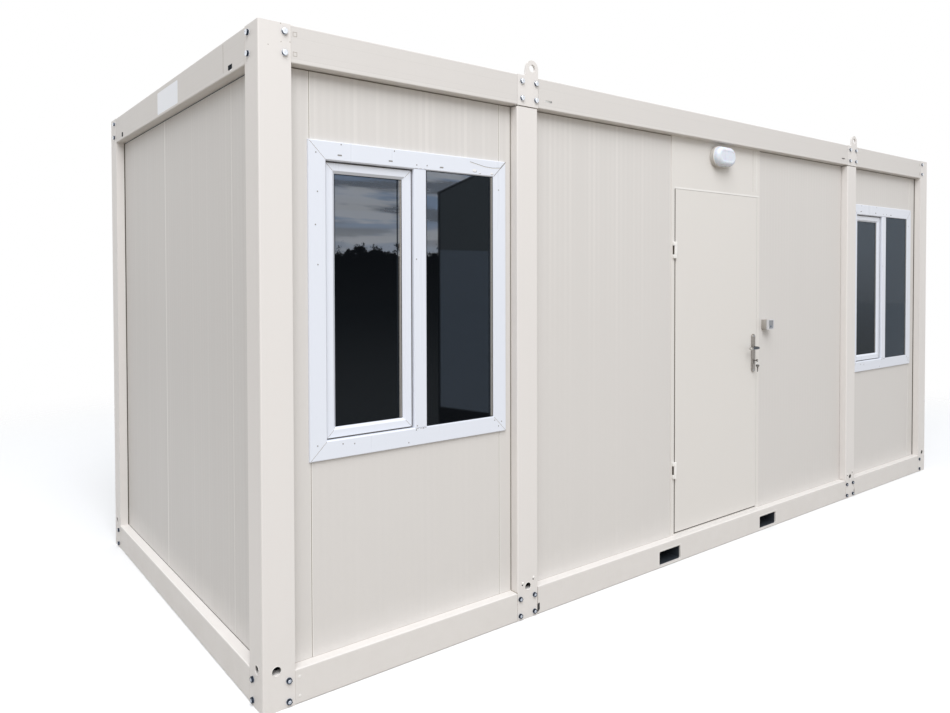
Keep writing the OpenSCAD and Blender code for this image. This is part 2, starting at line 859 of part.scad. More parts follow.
module jamb() {
    linear_extrude(wall_z1 - wall_z0)
        polygon([[0, jamb_y], [jamb_w, jamb_y], [jamb_w, stop_y], [jamb_w + door_gap + stop_lap, stop_y],
            [jamb_w + door_gap + stop_lap, wall_in], [0, wall_in]]);
}

module door_frame() {
    clear = opening_z1 - door_gap - stop_lap;
    color(steel) at_front() {
        difference() {
            union() {
                translate([door_x0, 0, wall_z0]) jamb();
                translate([door_x1, 0, wall_z0]) mirror([1, 0, 0]) jamb();
            }
            // over the head the jambs have no stop
            translate([opening_x0, stop_y - eps, opening_z1 + jamb_w])
                cube([opening_x1 - opening_x0, stop_t + 2 * eps, wall_z1]);
        }
        translate([opening_x0 - eps, jamb_y, opening_z1])
            cube([opening_x1 - opening_x0 + 2 * eps, wall_in - jamb_y, jamb_w]);
        translate([opening_x0 - eps, stop_y, clear])
            cube([opening_x1 - opening_x0 + 2 * eps, stop_t, opening_z1 - clear + eps]);
        translate([opening_x0 - eps, jamb_y, wall_z0])
            cube([opening_x1 - opening_x0 + 2 * eps, wall_in - jamb_y, sill_z - wall_z0]);
        translate([opening_x0 - eps, stop_y, sill_z - eps])
            cube([opening_x1 - opening_x0 + 2 * eps, stop_t, eps + sill_gap + stop_lap]);
    }
}

module door_leaf() {
    color("#dddad5") at_front() difference() {
        translate([leaf_x, leaf_y, leaf_z]) linear_extrude(leaf_h) difference() {
            square([leaf_w, leaf_t]);
            corner_off(leaf_fold);
            translate([leaf_w, 0]) mirror([1, 0]) corner_off(leaf_fold);
        }
        translate([lock_x, leaf_y - eps, lever_z]) rotate([-90, 0, 0])
            cylinder(d = lever_d, h = leaf_t + 2 * eps);
        translate([lock_x, 0, cylinder_z]) run_in(leaf_y - eps, leaf_back + eps) cylinder_outline(0);
    }
}

module at_hinges() {
    at_front() for (z = hinge_zs) translate([hinge_x, hinge_y, z]) children();
}

// fixed knuckles above and below the moving one, on lugs that stand on the jamb
module hinges_fixed() {
    lug_back = jamb_y - hinge_y;
    color(steel) at_hinges() {
        for (z = [0, hinge_l - end_knuckle + hinge_play]) translate([0, 0, z]) {
            cylinder(d = barrel_d, h = end_knuckle - hinge_play);
            translate([-lug_w, 0, 0]) cube([lug_w, lug_back, end_knuckle - hinge_play]);
        }
        cylinder(d = pin_d, h = hinge_l);
    }
}

module hinges_moving() {
    color(steel) at_hinges() translate([0, 0, end_knuckle]) difference() {
        union() {
            cylinder(d = barrel_d, h = knuckle_l);
            translate([0, leaf_y - hinge_y - hinge_plate_t, 0])
                cube([hinge_out + hinge_lap, hinge_plate_t, knuckle_l]);
        }
        translate([0, 0, -eps]) cylinder(d = pin_d + 2 * hinge_play, h = knuckle_l + 2 * eps);
    }
}

// ---- lock ----

// round plug with the web below it
module cylinder_outline(grow) {
    circle(d = plug_d + 2 * grow);
    translate([-cylinder_w / 2 - grow, plug_d / 2 - cylinder_h - grow])
        square([cylinder_w + 2 * grow, cylinder_h - plug_d / 2 + grow]);
}

module lock_plate() {
    difference() {
        hull_z0 = plate_over - plate_l + plate_w / 2;
        hull_z1 = plate_over - plate_w / 2;
        union() {
            for (z = [hull_z0, hull_z1]) translate([0, z]) circle(d = plate_w);
            translate([-plate_w / 2, hull_z0]) square([plate_w, hull_z1 - hull_z0]);
        }
        circle(d = lever_d + 1);
        translate([0, -lock_pitch]) cylinder_outline(0);
    }
}

module lock_plates() {
    color(nickel) at_front() translate([lock_x, 0, lever_z]) {
        run_in(plate_y, leaf_y) lock_plate();
        run_in(leaf_back, leaf_back + plate_t) lock_plate();
    }
}

// neck out from the plate, a quarter bend, and the grip towards the hinges
module lever_arm() {
    rotate([90, 0, 0]) cylinder(d = lever_d, h = lever_reach + plate_t - lever_bend);
    translate([-lever_bend, lever_bend - lever_reach - plate_t, 0]) rotate([0, 0, -90])
        rotate_extrude(angle = 90) translate([lever_bend, 0]) circle(d = lever_d);
    translate([-lever_bend, -lever_reach - plate_t, 0]) rotate([0, -90, 0])
        cylinder(d = lever_d, h = lever_l - lever_bend);
    translate([-lever_l, -lever_reach - plate_t, 0]) sphere(d = lever_d);
}

module lever_handle() {
    color(nickel) at_front() translate([lock_x, 0, lever_z]) {
        translate([0, leaf_y, 0]) lever_arm();
        translate([0, leaf_back, 0]) mirror([0, 1, 0]) lever_arm();
        translate([-spindle_w / 2, leaf_y - eps, -spindle_w / 2])
            cube([spindle_w, leaf_t + 2 * eps, spindle_w]);
    }
}

module lock_cylinder() {
    color("#b9b4a6") at_front() translate([lock_x, 0, cylinder_z])
        run_in(plate_y - cylinder_proud, leaf_back + plate_t + cylinder_proud) cylinder_outline(0);
}

// ---- lamp and switch ----

// long round body: a section of radius and depth turned about both ends and drawn between them
module oval(w, h) {
    straight = w - h;
    for (s = [-1, 1]) translate([s * straight / 2, 0, 0]) rotate([90, 0, 0])
        rotate_extrude() children();
    for (s = [0, 1]) mirror([0, 0, s]) translate([-straight / 2, 0, 0]) rotate([90, 0, 0])
        rotate([90, 0, 90]) linear_extrude(straight) children();
}

module lamp_place() {
    at_front() translate([door_mid + lamp_at, jamb_y, wall_z1 - lamp_drop]) children();
}

module lamp_base() {
    r = lamp_h / 2;
    color("#cfcbc5") lamp_place() oval(lamp_w, lamp_h) difference() {
        square([r, lamp_base_t]);
        translate([r, lamp_base_t]) rotate(180) corner_off(lamp_edge);
        translate([r - lamp_groove, (lamp_base_t - lamp_groove) / 2])
            square([lamp_groove + eps, lamp_groove]);
    }
}

module lamp_diffuser() {
    r = lamp_h / 2 - lamp_rim;
    color("#e4e8f2") lamp_place() translate([0, -lamp_base_t, 0])
        oval(lamp_w - 2 * lamp_rim, lamp_h - 2 * lamp_rim) difference() {
            square([r, lamp_dome_t]);
            translate([r, lamp_dome_t]) rotate(180) corner_off(lamp_round);
        }
}

// square box run along y from y0 to y1, as wide and high as w
module square_run(w, y0, y1) {
    translate([-w / 2, y0, -w / 2]) cube([w, y1 - y0, w]);
}

// back box and cover with a groove between them, and the rocker in the cover's recess
module switch_box() {
    front = set_back - switch_t;
    recess_y = front + rocker_recess;
    recess_w = switch_w - 2 * rocker_rim;
    rocker_w = recess_w - 2 * rocker_gap;
    color("#c9c7c6") at_front()
        translate([door_x1 + switch_at + switch_w / 2, 0, wall_z0 + switch_rise]) {
            difference() {
                union() {
                    square_run(switch_w, front, front + cover_t);
                    square_run(switch_w - 2 * cover_groove, front, set_back);
                    square_run(switch_w, front + cover_t + cover_groove, set_back);
                }
                square_run(recess_w, front - eps, recess_y);
            }
            // tilted rocker, lower half pressed in
            translate([-rocker_w / 2, 0, 0]) rotate([90, 0, 90]) linear_extrude(rocker_w)
                polygon([[recess_y + eps, -rocker_w / 2], [recess_y - rocker_recess / 2, -rocker_w / 2],
                    [front + rocker_recess / 2, 0], [front, rocker_w / 2],
                    [recess_y + eps, rocker_w / 2]]);
        }
}

// ---- nodes ----

at_front() corner_post();  // corner_post_front_left
at_right() corner_post();  // corner_post_front_right
at_back() corner_post();  // corner_post_back_left
mirror([0, 1, 0]) at_right() corner_post();  // corner_post_back_right
at_front() mid_posts();  // mid_posts_front
at_back() mid_posts();  // mid_posts_back
lifting_eyes();
at_front() top_rail_long();  // top_rail_front
at_back() top_rail_long();  // top_rail_back
at_front() top_rail_end();  // top_rail_left
at_right() top_rail_end();  // top_rail_right
at_front() floor_rail_long();  // floor_rail_front
at_back() floor_rail_long();  // floor_rail_back
at_front() floor_rail_end();  // floor_rail_left
at_right() floor_rail_end();  // floor_rail_right
fork_pockets();
floor_joists();
floor_board();
roof_beams();
roof_sheet();
ceiling_lining();
front_wall_left();
front_wall_beside_door_left();
front_wall_beside_door_right();
front_wall_over_door();
front_wall_right();
end_wall_left();
end_wall_right();
back_wall_left();
back_wall_middle();
back_wall_right();
window_frames();
window_sashes();
window_panes();
door_frame();
door_leaf();
hinges_fixed();
hinges_moving();
lock_plates();
lever_handle();
lock_cylinder();
lamp_base();
lamp_diffuser();
switch_box();
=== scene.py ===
import bpy, bmesh
from math import asin, cos, pi, radians, sin
from mathutils import Matrix, Vector


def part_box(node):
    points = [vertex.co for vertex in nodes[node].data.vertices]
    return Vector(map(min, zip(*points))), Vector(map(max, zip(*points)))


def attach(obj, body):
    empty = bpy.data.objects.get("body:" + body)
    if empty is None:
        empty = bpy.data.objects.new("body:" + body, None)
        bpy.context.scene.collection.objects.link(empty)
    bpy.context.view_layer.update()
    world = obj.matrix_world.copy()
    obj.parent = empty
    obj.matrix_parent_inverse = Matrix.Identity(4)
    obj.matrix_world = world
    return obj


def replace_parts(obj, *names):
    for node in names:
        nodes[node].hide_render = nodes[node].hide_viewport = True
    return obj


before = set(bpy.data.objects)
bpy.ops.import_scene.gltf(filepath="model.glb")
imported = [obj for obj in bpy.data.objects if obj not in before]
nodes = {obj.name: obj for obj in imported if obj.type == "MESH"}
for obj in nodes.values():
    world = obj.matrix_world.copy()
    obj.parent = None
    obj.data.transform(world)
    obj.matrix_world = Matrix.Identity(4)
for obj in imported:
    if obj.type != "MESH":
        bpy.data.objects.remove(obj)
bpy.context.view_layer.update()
print("frame loaded:", len(nodes), "nodes")


# node trees: sockets are linked or set alike, and a calculation goes in the tree of the sockets it reads
def isSocket(value):
    return isinstance(value, bpy.types.NodeSocket)


def feed(sockets, values):
    for key, value in values.items():
        if isSocket(value):
            value.id_data.links.new(value, sockets[key])
        else:
            sockets[key].default_value = value


def addNode(tree, kind, inputs=None, **settings):  # a new node's outputs
    made = tree.nodes.new(kind)
    for key, value in settings.items():
        setattr(made, key, value)
    feed(made.inputs, inputs or {})
    return made.outputs


def calc(operation, *values, clamp=False):
    tree = next(value for value in values if isSocket(value)).id_data
    return addNode(tree, "ShaderNodeMath", dict(enumerate(values)), operation=operation, use_clamp=clamp)[0]


def plus(a, b):
    return calc("ADD", a, b)


def less(a, b):
    return calc("SUBTRACT", a, b)


def times(a, b):
    return calc("MULTIPLY", a, b)


def ease(value, low, high, toLow=0.0, toHigh=1.0):  # smooth step from low to high
    return addNode(value.id_data, "ShaderNodeMapRange",
                   {"Value": value, "From Min": low, "From Max": high, "To Min": toLow, "To Max": toHigh},
                   interpolation_type="SMOOTHSTEP")["Result"]


def mixColor(factor, a, b, blend="MIX"):
    tree = next(value for value in (factor, a, b) if isSocket(value)).id_data
    return addNode(tree, "ShaderNodeMix", {0: factor, 6: a, 7: b}, data_type="RGBA", blend_type=blend)[2]


def shaded(color, level):  # a colour made lighter or darker by a level about 1
    grey = addNode(level.id_data, "ShaderNodeCombineColor", {0: level, 1: level, 2: level})[0]
    return mixColor(1.0, color, grey, "MULTIPLY")


def stretched(vector, x, y, z):
    return addNode(vector.id_data, "ShaderNodeVectorMath", {0: vector, 1: (x, y, z)}, operation="MULTIPLY")[0]


def noise(vector, scale, detail=2.0, rough=.5):
    return addNode(vector.id_data, "ShaderNodeTexNoise",
                   {"Vector": vector, "Scale": scale, "Detail": detail, "Roughness": rough})["Fac"]


def place(tree):  # object coordinates and their three parts
    whole = addNode(tree, "ShaderNodeTexCoord")["Object"]
    return [whole] + list(addNode(tree, "ShaderNodeSeparateXYZ", {0: whole}))


def tint(r, g, b):
    return (r, g, b, 1.0)


def darker(color, by):
    return tint(*[part * by for part in color[:3]])


def newGroup(name, inputs, outputs):  # an input is a colour, None for a vector, or a number
    group = bpy.data.node_groups.new(name, "ShaderNodeTree")
    for label, value in inputs.items():
        kind = "Color" if isinstance(value, tuple) else "Vector" if value is None else "Float"
        socket = group.interface.new_socket(name=label, in_out="INPUT", socket_type="NodeSocket" + kind)
        if value is not None:
            socket.default_value = value
    for label in outputs:
        kind = "Color" if label == "Color" else "Float"
        group.interface.new_socket(name=label, in_out="OUTPUT", socket_type="NodeSocket" + kind)
    return group, group.nodes.new("NodeGroupInput").outputs, group.nodes.new("NodeGroupOutput").inputs


def useGroup(tree, group, **inputs):
    return addNode(tree, "ShaderNodeGroup", inputs, node_tree=group)


# sprayed or coated sheet: slow tone drift, upright streaks and fine orange peel
def makePaintSkin():
    group, given, out = newGroup("paintSkin", {"Color": tint(.7, .7, .7), "Drift": .04, "Streaks": .03, "Peel": .3,
                                               "Roughness": .45}, ("Color", "Roughness", "Height"))
    whole = place(group)[0]
    drift = less(noise(whole, 1.7, 4.0, .55), .5)
    streak = less(noise(stretched(whole, 1, 1, .05), 21.0, 3.0, .6), .5)
    change = plus(times(drift, given["Drift"]), times(streak, given["Streaks"]))
    feed(out, {"Color": shaded(given["Color"], plus(change, 1.0)),
               "Roughness": plus(given["Roughness"], times(streak, .16)),
               "Height": times(noise(whole, 330.0, 1.0), given["Peel"])})
    return group


# dust that thins out upwards from the ground
def makeGroundDust():
    group, given, out = newGroup("groundDust", {"Color": tint(.7, .7, .7), "Dust": tint(.36, .31, .24), "Reach": .5,
                                                "Amount": .25}, ("Color", "Mask"))
    whole, x, y, z = place(group)
    low = ease(calc("DIVIDE", z, given["Reach"]), 0.0, 1.0, 1.0, 0.0)
    patch = ease(noise(whole, 9.0, 5.0, .65), .32, .72)
    mask = calc("MULTIPLY", times(low, patch), given["Amount"], clamp=True)
    feed(out, {"Color": mixColor(mask, given["Color"], given["Dust"]), "Mask": mask})
    return group


# shallow upright ribs rolled into a wall sheet, with stripes of painted shade and light on them; Across being the way
# along the wall
def makeMicroRibs():
    group, given, out = newGroup("microRibs", {"Across": 0.0, "Pitch": .036, "Tone": .02}, ("Height", "Shade"))
    turns = calc("DIVIDE", given["Across"], given["Pitch"])
    step = ease(calc("SINE", times(turns, 2 * pi)), -.55, .55)
    uneven = ease(noise(addNode(group, "ShaderNodeCombineXYZ", {0: turns})[0], .37, 2.0), .35, .75)
    shade = times(less(times(step, uneven), .2), given["Tone"])
    feed(out, {"Height": step, "Shade": plus(shade, 1.0)})
    return group


# lines that the rolls leave along a rail's web, each a crease darkened as painted shade, with a painted highlight on
# the strip below the lowest; Up being the height over the rail's lower edge
def makeRollLines():
    group, given, out = newGroup("rollLines", {"Up": 0.0, "Width": .0016, "Tone": .05}, ("Shade", "Height"))
    total = None
    for height, strength in ((.019, 1.0), (.043, .6), (.101, .8), (.139, .5)):
        away = calc("ABSOLUTE", less(given["Up"], height))
        line = times(ease(away, given["Width"], 0.0), strength)
        total = line if total is None else plus(total, line)
    # painted highlight on the strip below the lowest bend
    band = ease(given["Up"], .019, .017, 0.0, .55)
    feed(out, {"Shade": plus(times(less(band, total), given["Tone"]), 1.0), "Height": less(1.0, total)})
    return group


# fine scratches in one direction, for brushed and rolled metal
def makeBrushing():
    group, given, out = newGroup("brushing", {"Vector": None, "Roughness": .35, "Spread": .2},
                                 ("Roughness", "Height"))
    hair = noise(given["Vector"], 900.0, 2.0, .7)
    feed(out, {"Roughness": plus(given["Roughness"], times(less(hair, .5), given["Spread"])), "Height": hair})
    return group


paintSkin, groundDust, microRibs = makePaintSkin(), makeGroundDust(), makeMicroRibs()
rollLines, brushing = makeRollLines(), makeBrushing()


def newMaterial(name, **constants):
    material = bpy.data.materials.new(name)
    material.use_nodes = True
    shader = material.node_tree.nodes["Principled BSDF"].inputs
    for key, value in constants.items():
        shader[key.replace("_", " ")].default_value = value
    return material, material.node_tree


def finishMaterial(material, color, roughness, height=None, depth=0.0):
    tree = material.node_tree
    changing = {"Base Color": color, "Roughness": roughness}
    if height is not None:
        changing["Normal"] = addNode(tree, "ShaderNodeBump", {"Height": height, "Distance": depth})["Normal"]
    feed(tree.nodes["Principled BSDF"].inputs, changing)
    return material


def paintedSteel(name, color, roughness=.42, drift=.03, streaks=.012, peel=.5, dust=.05, reach=.4, foot=None,
                 topLight=1.0):
    material, tree = newMaterial(name)
    coat = useGroup(tree, paintSkin, Color=color, Drift=drift, Streaks=streaks, Peel=peel, Roughness=roughness)
    tone, height = coat["Color"], coat["Height"]
    if foot is not None:  # a rolled rail, foot being its lower edge
        lines = useGroup(tree, rollLines, Up=less(place(tree)[3], foot))
        tone, height = shaded(tone, lines["Shade"]), plus(height, times(lines["Height"], 2.0))
    if topLight != 1.0:  # flat tops get painted light, lighter than the faces
        normal = addNode(tree, "ShaderNodeNewGeometry")["Normal"]
        tone = shaded(tone, ease(addNode(tree, "ShaderNodeSeparateXYZ", {0: normal})[2], .6, .8, 1.0, topLight))
    dusty = useGroup(tree, groundDust, Color=tone, Amount=dust, Reach=reach)
    return finishMaterial(material, dusty["Color"], plus(coat["Roughness"], dusty["Mask"]), height, .00012)


# wall sheet: along is 0 where the wall runs along x, 1 along y
def ribbedSheet(name, color, along):
    material, tree = newMaterial(name)
    whole, x, y, z = place(tree)
    clear = .045
    if not along:  # on the long sides the ribs' painted shade shows near the top, most at the near end
        clear = times(ease(z, 1.0, 2.35, .015, .085), ease(x, -1.3, .1, 1.0, .25))
    ribs = useGroup(tree, microRibs, Across=(x, y)[along], Pitch=.0365, Tone=clear)
    coat = useGroup(tree, paintSkin, Color=color, Drift=.025, Streaks=.014, Peel=.25, Roughness=.46)
    jag = noise(stretched(whole, 1, 1, 0), 38.0, 1.0)
    lit = ease(plus(z, times(jag, .09)), railTop + .10, railTop + .19, (1.025, 1.07)[along], 1.0)  # light off the ledge
    tone = shaded(shaded(coat["Color"], ribs["Shade"]), lit)
    dusty = useGroup(tree, groundDust, Color=tone, Amount=.05, Reach=.6)
    height = plus(ribs["Height"], times(coat["Height"], .4))
    return finishMaterial(material, dusty["Color"], coat["Roughness"], height, .00016)


def plainPlastic(name, color, roughness, grain=500.0, depth=.0001, drift=.02, **constants):
    material, tree = newMaterial(name, **constants)
    coat = useGroup(tree, paintSkin, Color=color, Drift=drift, Streaks=0.0, Peel=0.0, Roughness=roughness)
    return finishMaterial(material, coat["Color"], coat["Roughness"], noise(place(tree)[0], grain), depth)


# metal brushed along one axis: stretch is how the scratches are drawn out, and an optional place along x with a darker
# colour past it is painted shade
def brushedMetal(name, color, roughness, stretch, shadedPast=None):
    material, tree = newMaterial(name, Metallic=1.0)
    whole, x = place(tree)[:2]
    shadedTone = mixColor(ease(x, shadedPast[0] - .012, shadedPast[0] + .004), color, shadedPast[1]) if shadedPast else color
    marks = useGroup(tree, brushing, Vector=stretched(whole, *stretch), Roughness=roughness, Spread=.22)
    cloud = ease(noise(whole, 130.0, 3.0), .3, .7)
    return finishMaterial(material, shaded(shadedTone, less(1.0, times(cloud, .2))), marks["Roughness"],
                          marks["Height"], .00004)


# zinc coat: small bright and dull crystals, and painted shade, a dark colour, on the flanks of a bolt
def zincPlate(name, color, roughness=.34):
    material, tree = newMaterial(name, Metallic=1.0)
    cells = addNode(tree, "ShaderNodeTexVoronoi", {"Vector": place(tree)[0], "Scale": 420.0})["Color"]
    grey = addNode(tree, "ShaderNodeRGBToBW", {0: cells})[0]
    coat = mixColor(times(grey, .35), color, darker(color, .6))
    flankShade = addNode(tree, "ShaderNodeAttribute", attribute_name="flankShade")["Fac"]
    return finishMaterial(material, mixColor(flankShade, coat, tint(.035, .045, .065)), plus(times(grey, .2), roughness),
                          grey, .00005)


def speckled(name, color, spots, scale, roughness):
    material, tree = newMaterial(name)
    whole = place(tree)[0]
    grain = ease(noise(whole, scale, 4.0, .7), .42, .66)
    toned = mixColor(times(noise(whole, 2.2, 3.0), .3), color, darker(color, .82))
    return finishMaterial(material, mixColor(times(grain, .55), toned, spots), plus(times(grain, .12), roughness),
                          grain, .0001)


# fork pocket: nearly black inside as painted shade, with the wall paint on its cut ends
def pocketPaint(name, inside, outside, endY, lip):
    material, tree = newMaterial(name)
    coat = useGroup(tree, paintSkin, Color=inside, Drift=.3, Streaks=.2, Peel=1.0, Roughness=.7)
    edge = ease(calc("ABSOLUTE", place(tree)[2]), endY - lip, endY - lip * .6)
    return finishMaterial(material, mixColor(edge, coat["Color"], outside), coat["Roughness"], coat["Height"], .0003)


# double glazing seen from outside, its colour a painted reflection: nearly black low down, with soft tones of sky,
# trees, a neighbour's gable and its wall painted in
def paintedReflectionGlass(name, tones, s):
    material, tree = newMaterial(name, Transmission_Weight=.6, IOR=1.12, Specular_IOR_Level=.1)
    whole, x, y, z = place(tree)
    cloud = noise(stretched(whole, .5, 1.0, 4.0), 5.0, 3.0, .5)
    band = noise(stretched(whole, .25, 1.0, 3.0), 4.3, 2.0, .45)
    leafy = plus(z, times(less(noise(whole, 21.0, 5.0, .65), .5), .22))
    sky = mixColor(ease(band, .42, .58), tones["dark"], tones["blue"])
    sky = mixColor(times(ease(cloud, .46, .62), .85), sky, tones["cloud"])
    sky = mixColor(ease(z, s["treeLine"] + .16, s["treeLine"] + .03, 0.0, .5), sky, tones["cloud"])
    deep = mixColor(ease(z, s["treeLine"], s["footLine"]), tones["deep"], tones["foot"])
    reflection = mixColor(ease(leafy, s["treeLine"] - .012, s["treeLine"] + .012), deep, sky)
    beside = less(x, s["eaveAt"])
    underRoof = less(plus(s["eaveHigh"], times(beside, s["roofSlope"])), z)
    overGround = less(z, plus(s["wallFoot"], times(beside, s["groundSlope"])))
    house = times(ease(x, s["eaveAt"] - .002, s["eaveAt"] + .002), ease(underRoof, -.002, .002))
    reflection = mixColor(house, reflection, tones["gable"])
    wall = times(ease(z, s["wallTop"] + .004, s["wallTop"]), ease(overGround, -.006, .006))
    reflection = mixColor(times(house, wall), reflection, tones["wall"])
    reflection = mixColor(times(house, ease(overGround, .006, -.006)), reflection, tones["deep"])
    nearEdge = times(ease(calc("ABSOLUTE", beside), .010, .004), ease(underRoof, -.006, .006))
    nearRoof = times(ease(calc("ABSOLUTE", underRoof), .009, .003),
                     ease(x, s["eaveAt"] - .012, s["eaveAt"] - .006))
    reflection = mixColor(times(calc("MAXIMUM", nearEdge, nearRoof), .8), reflection, tones["deep"])
    farTone = mixColor(ease(z, .95, 2.15), tones["farLow"], tones["farHigh"])
    farTone = mixColor(ease(x, s["farFixed"] - .01, s["farFixed"], 0.0, .75), farTone, tones["farEven"])
    reflection = mixColor(ease(x, s["farWindow"] - .01, s["farWindow"]), reflection, farTone)
    return finishMaterial(material, reflection, plus(times(cloud, .05), .02))


def looseParts(name):  # low and high corners of a node's separate solids, from the left
    shape = bmesh.new()
    shape.from_mesh(nodes[name].data)
    bmesh.ops.remove_doubles(shape, verts=shape.verts, dist=1e-5)
    left, parts = set(shape.verts), []
    while left:
        part, edge = set(), [left.pop()]
        while edge:
            vert = edge.pop()
            part.add(vert)
            near = {e.other_vert(vert) for e in vert.link_edges} & left
            left -= near
            edge.extend(near)
        parts.append([Vector([pick(v.co[i] for v in part) for i in range(3)]) for pick in (min, max)])
    shape.free()
    return sorted(parts, key=lambda box: (round(box[0].x, 3), round(box[0].z, 3), round(box[0].y, 3)))


# places on the frame that many pieces share
end, side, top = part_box("corner_post_back_right")[1]
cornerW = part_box("corner_post_front_left")[1].x + end
postLeft, postRight = looseParts("mid_posts_front")
leftWindow, rightWindow = looseParts("window_frames")
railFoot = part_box("top_rail_front")[0].z
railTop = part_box("floor_rail_front")[1].z
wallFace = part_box("front_wall_left")[0].y
doorLow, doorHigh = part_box("door_leaf")

framePaint = paintedSteel("framePaint", tint(.75, .717, .69))
railPaint = paintedSteel("railPaint", tint(.665, .636, .61), foot=railFoot)
# the rails' flat tops get painted light, the end rails' most
floorRailPaint = paintedSteel("floorRailPaint", tint(.72, .689, .661), topLight=1.045)
endRailPaint = paintedSteel("endRailPaint", tint(.735, .703, .675), topLight=1.17)
panelLong = ribbedSheet("panelLong", tint(.66, .633, .607), 0)
# the end walls' sheet is darker than the long walls': painted shade
panelEnd = ribbedSheet("panelEnd", tint(.625, .602, .58), 1)
doorPaint = paintedSteel("doorPaint", tint(.72, .69, .655), .4, .02, .01, .35, .03)
# a lighter paint for the hinges, also used for painted highlights: lines beside joints, the drip strip, rail bumps and
# hole lips
hingeAndHighlightPaint = paintedSteel("hingeAndHighlightPaint", tint(.80, .78, .75), .35, .01, 0.0, .2, 0.0)
roofSheet = paintedSteel("roofSheet", tint(.62, .61, .58), .5, .16, .05)
underPaint = paintedSteel("underPaint", tint(.26, .27, .28), .6, .2, .1, dust=.5, reach=.3)
pocketDark = pocketPaint("pocketDark", tint(.02, .026, .034), tint(.74, .71, .68), -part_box("fork_pockets")[0].y, .012)
windowPlastic = plainPlastic("windowPlastic", tint(.745, .773, .842), .3, 160.0, .00005, IOR=1.5)
diffuserPlastic = plainPlastic("diffuserPlastic", tint(.70, .735, .81), .28, 240.0, .00006,
                               Subsurface_Weight=.2, Subsurface_Scale=.01)
lampPlastic = plainPlastic("lampPlastic", tint(.60, .57, .53), .5, 700.0)
bezelPlastic = plainPlastic("bezelPlastic", tint(.72, .69, .65), .4, 700.0)
switchGrey = plainPlastic("switchGrey", tint(.62, .62, .64), .45, 900.0, .00008)
switchBack = plainPlastic("switchBack", tint(.37, .345, .315), .5, 900.0, .00008)
switchFace = plainPlastic("switchFace", tint(.27, .28, .30), .4, 700.0)
# dark bead colours, mostly set in gaps and joints as painted shade
slateSeal = plainPlastic("slateSeal", tint(.05, .08, .13), .6, 300.0)
brownSeal = plainPlastic("brownSeal", tint(.06, .048, .036), .65, 300.0)
shadeSeal = plainPlastic("shadeSeal", tint(.24, .21, .175), .65, 300.0)
darkRubber = plainPlastic("darkRubber", tint(.006, .009, .013), .8, 300.0, Specular_IOR_Level=.12)
seamPale = plainPlastic("seamPale", tint(.54, .50, .46), .6, drift=.2)
seamMiddle = plainPlastic("seamMiddle", tint(.42, .385, .345), .6, drift=.3)
seamShade = plainPlastic("seamShade", tint(.30, .26, .215), .7, drift=.3)
scuff = plainPlastic("scuff", tint(.27, .26, .25), .7, drift=.3)
plainPlate = plainPlastic("plainPlate", tint(.86, .88, .93), .35, 200.0, .00006)
chipPale = plainPlastic("chipPale", tint(.82, .82, .82), .45, 200.0, .00006)
lining = plainPlastic("lining", tint(.76, .75, .72), .6, 90.0, .0002)
floorVinyl = speckled("floorVinyl", tint(.30, .25, .18), tint(.42, .36, .28), 160.0, .45)
nickelUpright = brushedMetal("nickelUpright", tint(.31, .285, .26), .38, (1, 1, .03))
# the lever's colour turns dark past its tip: painted shade
nickelAcross = brushedMetal("nickelAcross", tint(.42, .40, .37), .30, (.03, 1, 1),
                            shadedPast=(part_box("lever_handle")[0].x + .03, tint(.075, .085, .10)))
brassNickel = brushedMetal("brassNickel", tint(.22, .205, .19), .25, (1, .05, 1))
spacerMetal = brushedMetal("spacerMetal", tint(.34, .32, .295), .4, (1, 1, .05))
zinc = zincPlate("zinc", tint(.80, .83, .88))
dullZinc = zincPlate("dullZinc", tint(.47, .50, .55), .45)
reflectionTones = {
    "blue": tint(.24, .31, .42), "cloud": tint(.45, .47, .50), "dark": tint(.17, .195, .235),
    "deep": tint(.004, .006, .009), "foot": tint(.025, .030, .035),
    "gable": tint(.038, .047, .056), "wall": tint(.060, .077, .100),
    "farLow": tint(.055, .066, .078), "farHigh": tint(.15, .185, .225), "farEven": tint(.125, .16, .20),
}
reflectionPlaces = {
    "treeLine": leftWindow[1].z - .44,     # where the sky begins
    "footLine": leftWindow[0].z + .12,
    "eaveAt": leftWindow[0].x + .648,      # a neighbour's gable mirrored in the fixed pane
    "eaveHigh": leftWindow[1].z - .176, "roofSlope": .46,
    "wallTop": leftWindow[1].z - .44, "wallFoot": leftWindow[0].z + .161, "groundSlope": -.218,
    "farWindow": 0.0, "farFixed": rightWindow[0].x + .54,
}
paneGlass = paintedReflectionGlass("paneGlass", reflectionTones, reflectionPlaces)

# which nodes wear which material, by the first words of their names; a later line wins
wear = {
    framePaint: "corner_post mid_posts lifting_eyes", railPaint: "top_rail",
    floorRailPaint: "floor_rail_front floor_rail_back", endRailPaint: "floor_rail_left floor_rail_right",
    panelLong: "front_wall back_wall", panelEnd: "end_wall", doorPaint: "door_leaf door_frame front_wall_over_door",
    hingeAndHighlightPaint: "hinges", roofSheet: "roof_sheet", underPaint: "floor_joists roof_beams", pocketDark: "fork_pockets",
    floorVinyl: "floor_board", lining: "ceiling_lining", windowPlastic: "window_frames window_sashes",
    paneGlass: "window_panes", nickelUpright: "lock_plates", nickelAcross: "lever_handle",
    brassNickel: "lock_cylinder", lampPlastic: "lamp_base", diffuserPlastic: "lamp_diffuser",
    switchGrey: "switch_box",
}
for material, starts in wear.items():
    for name, node in nodes.items():
        if name.startswith(tuple(starts.split())):
            node.material_slots[0].material = material
print("materials placed:", len(wear))


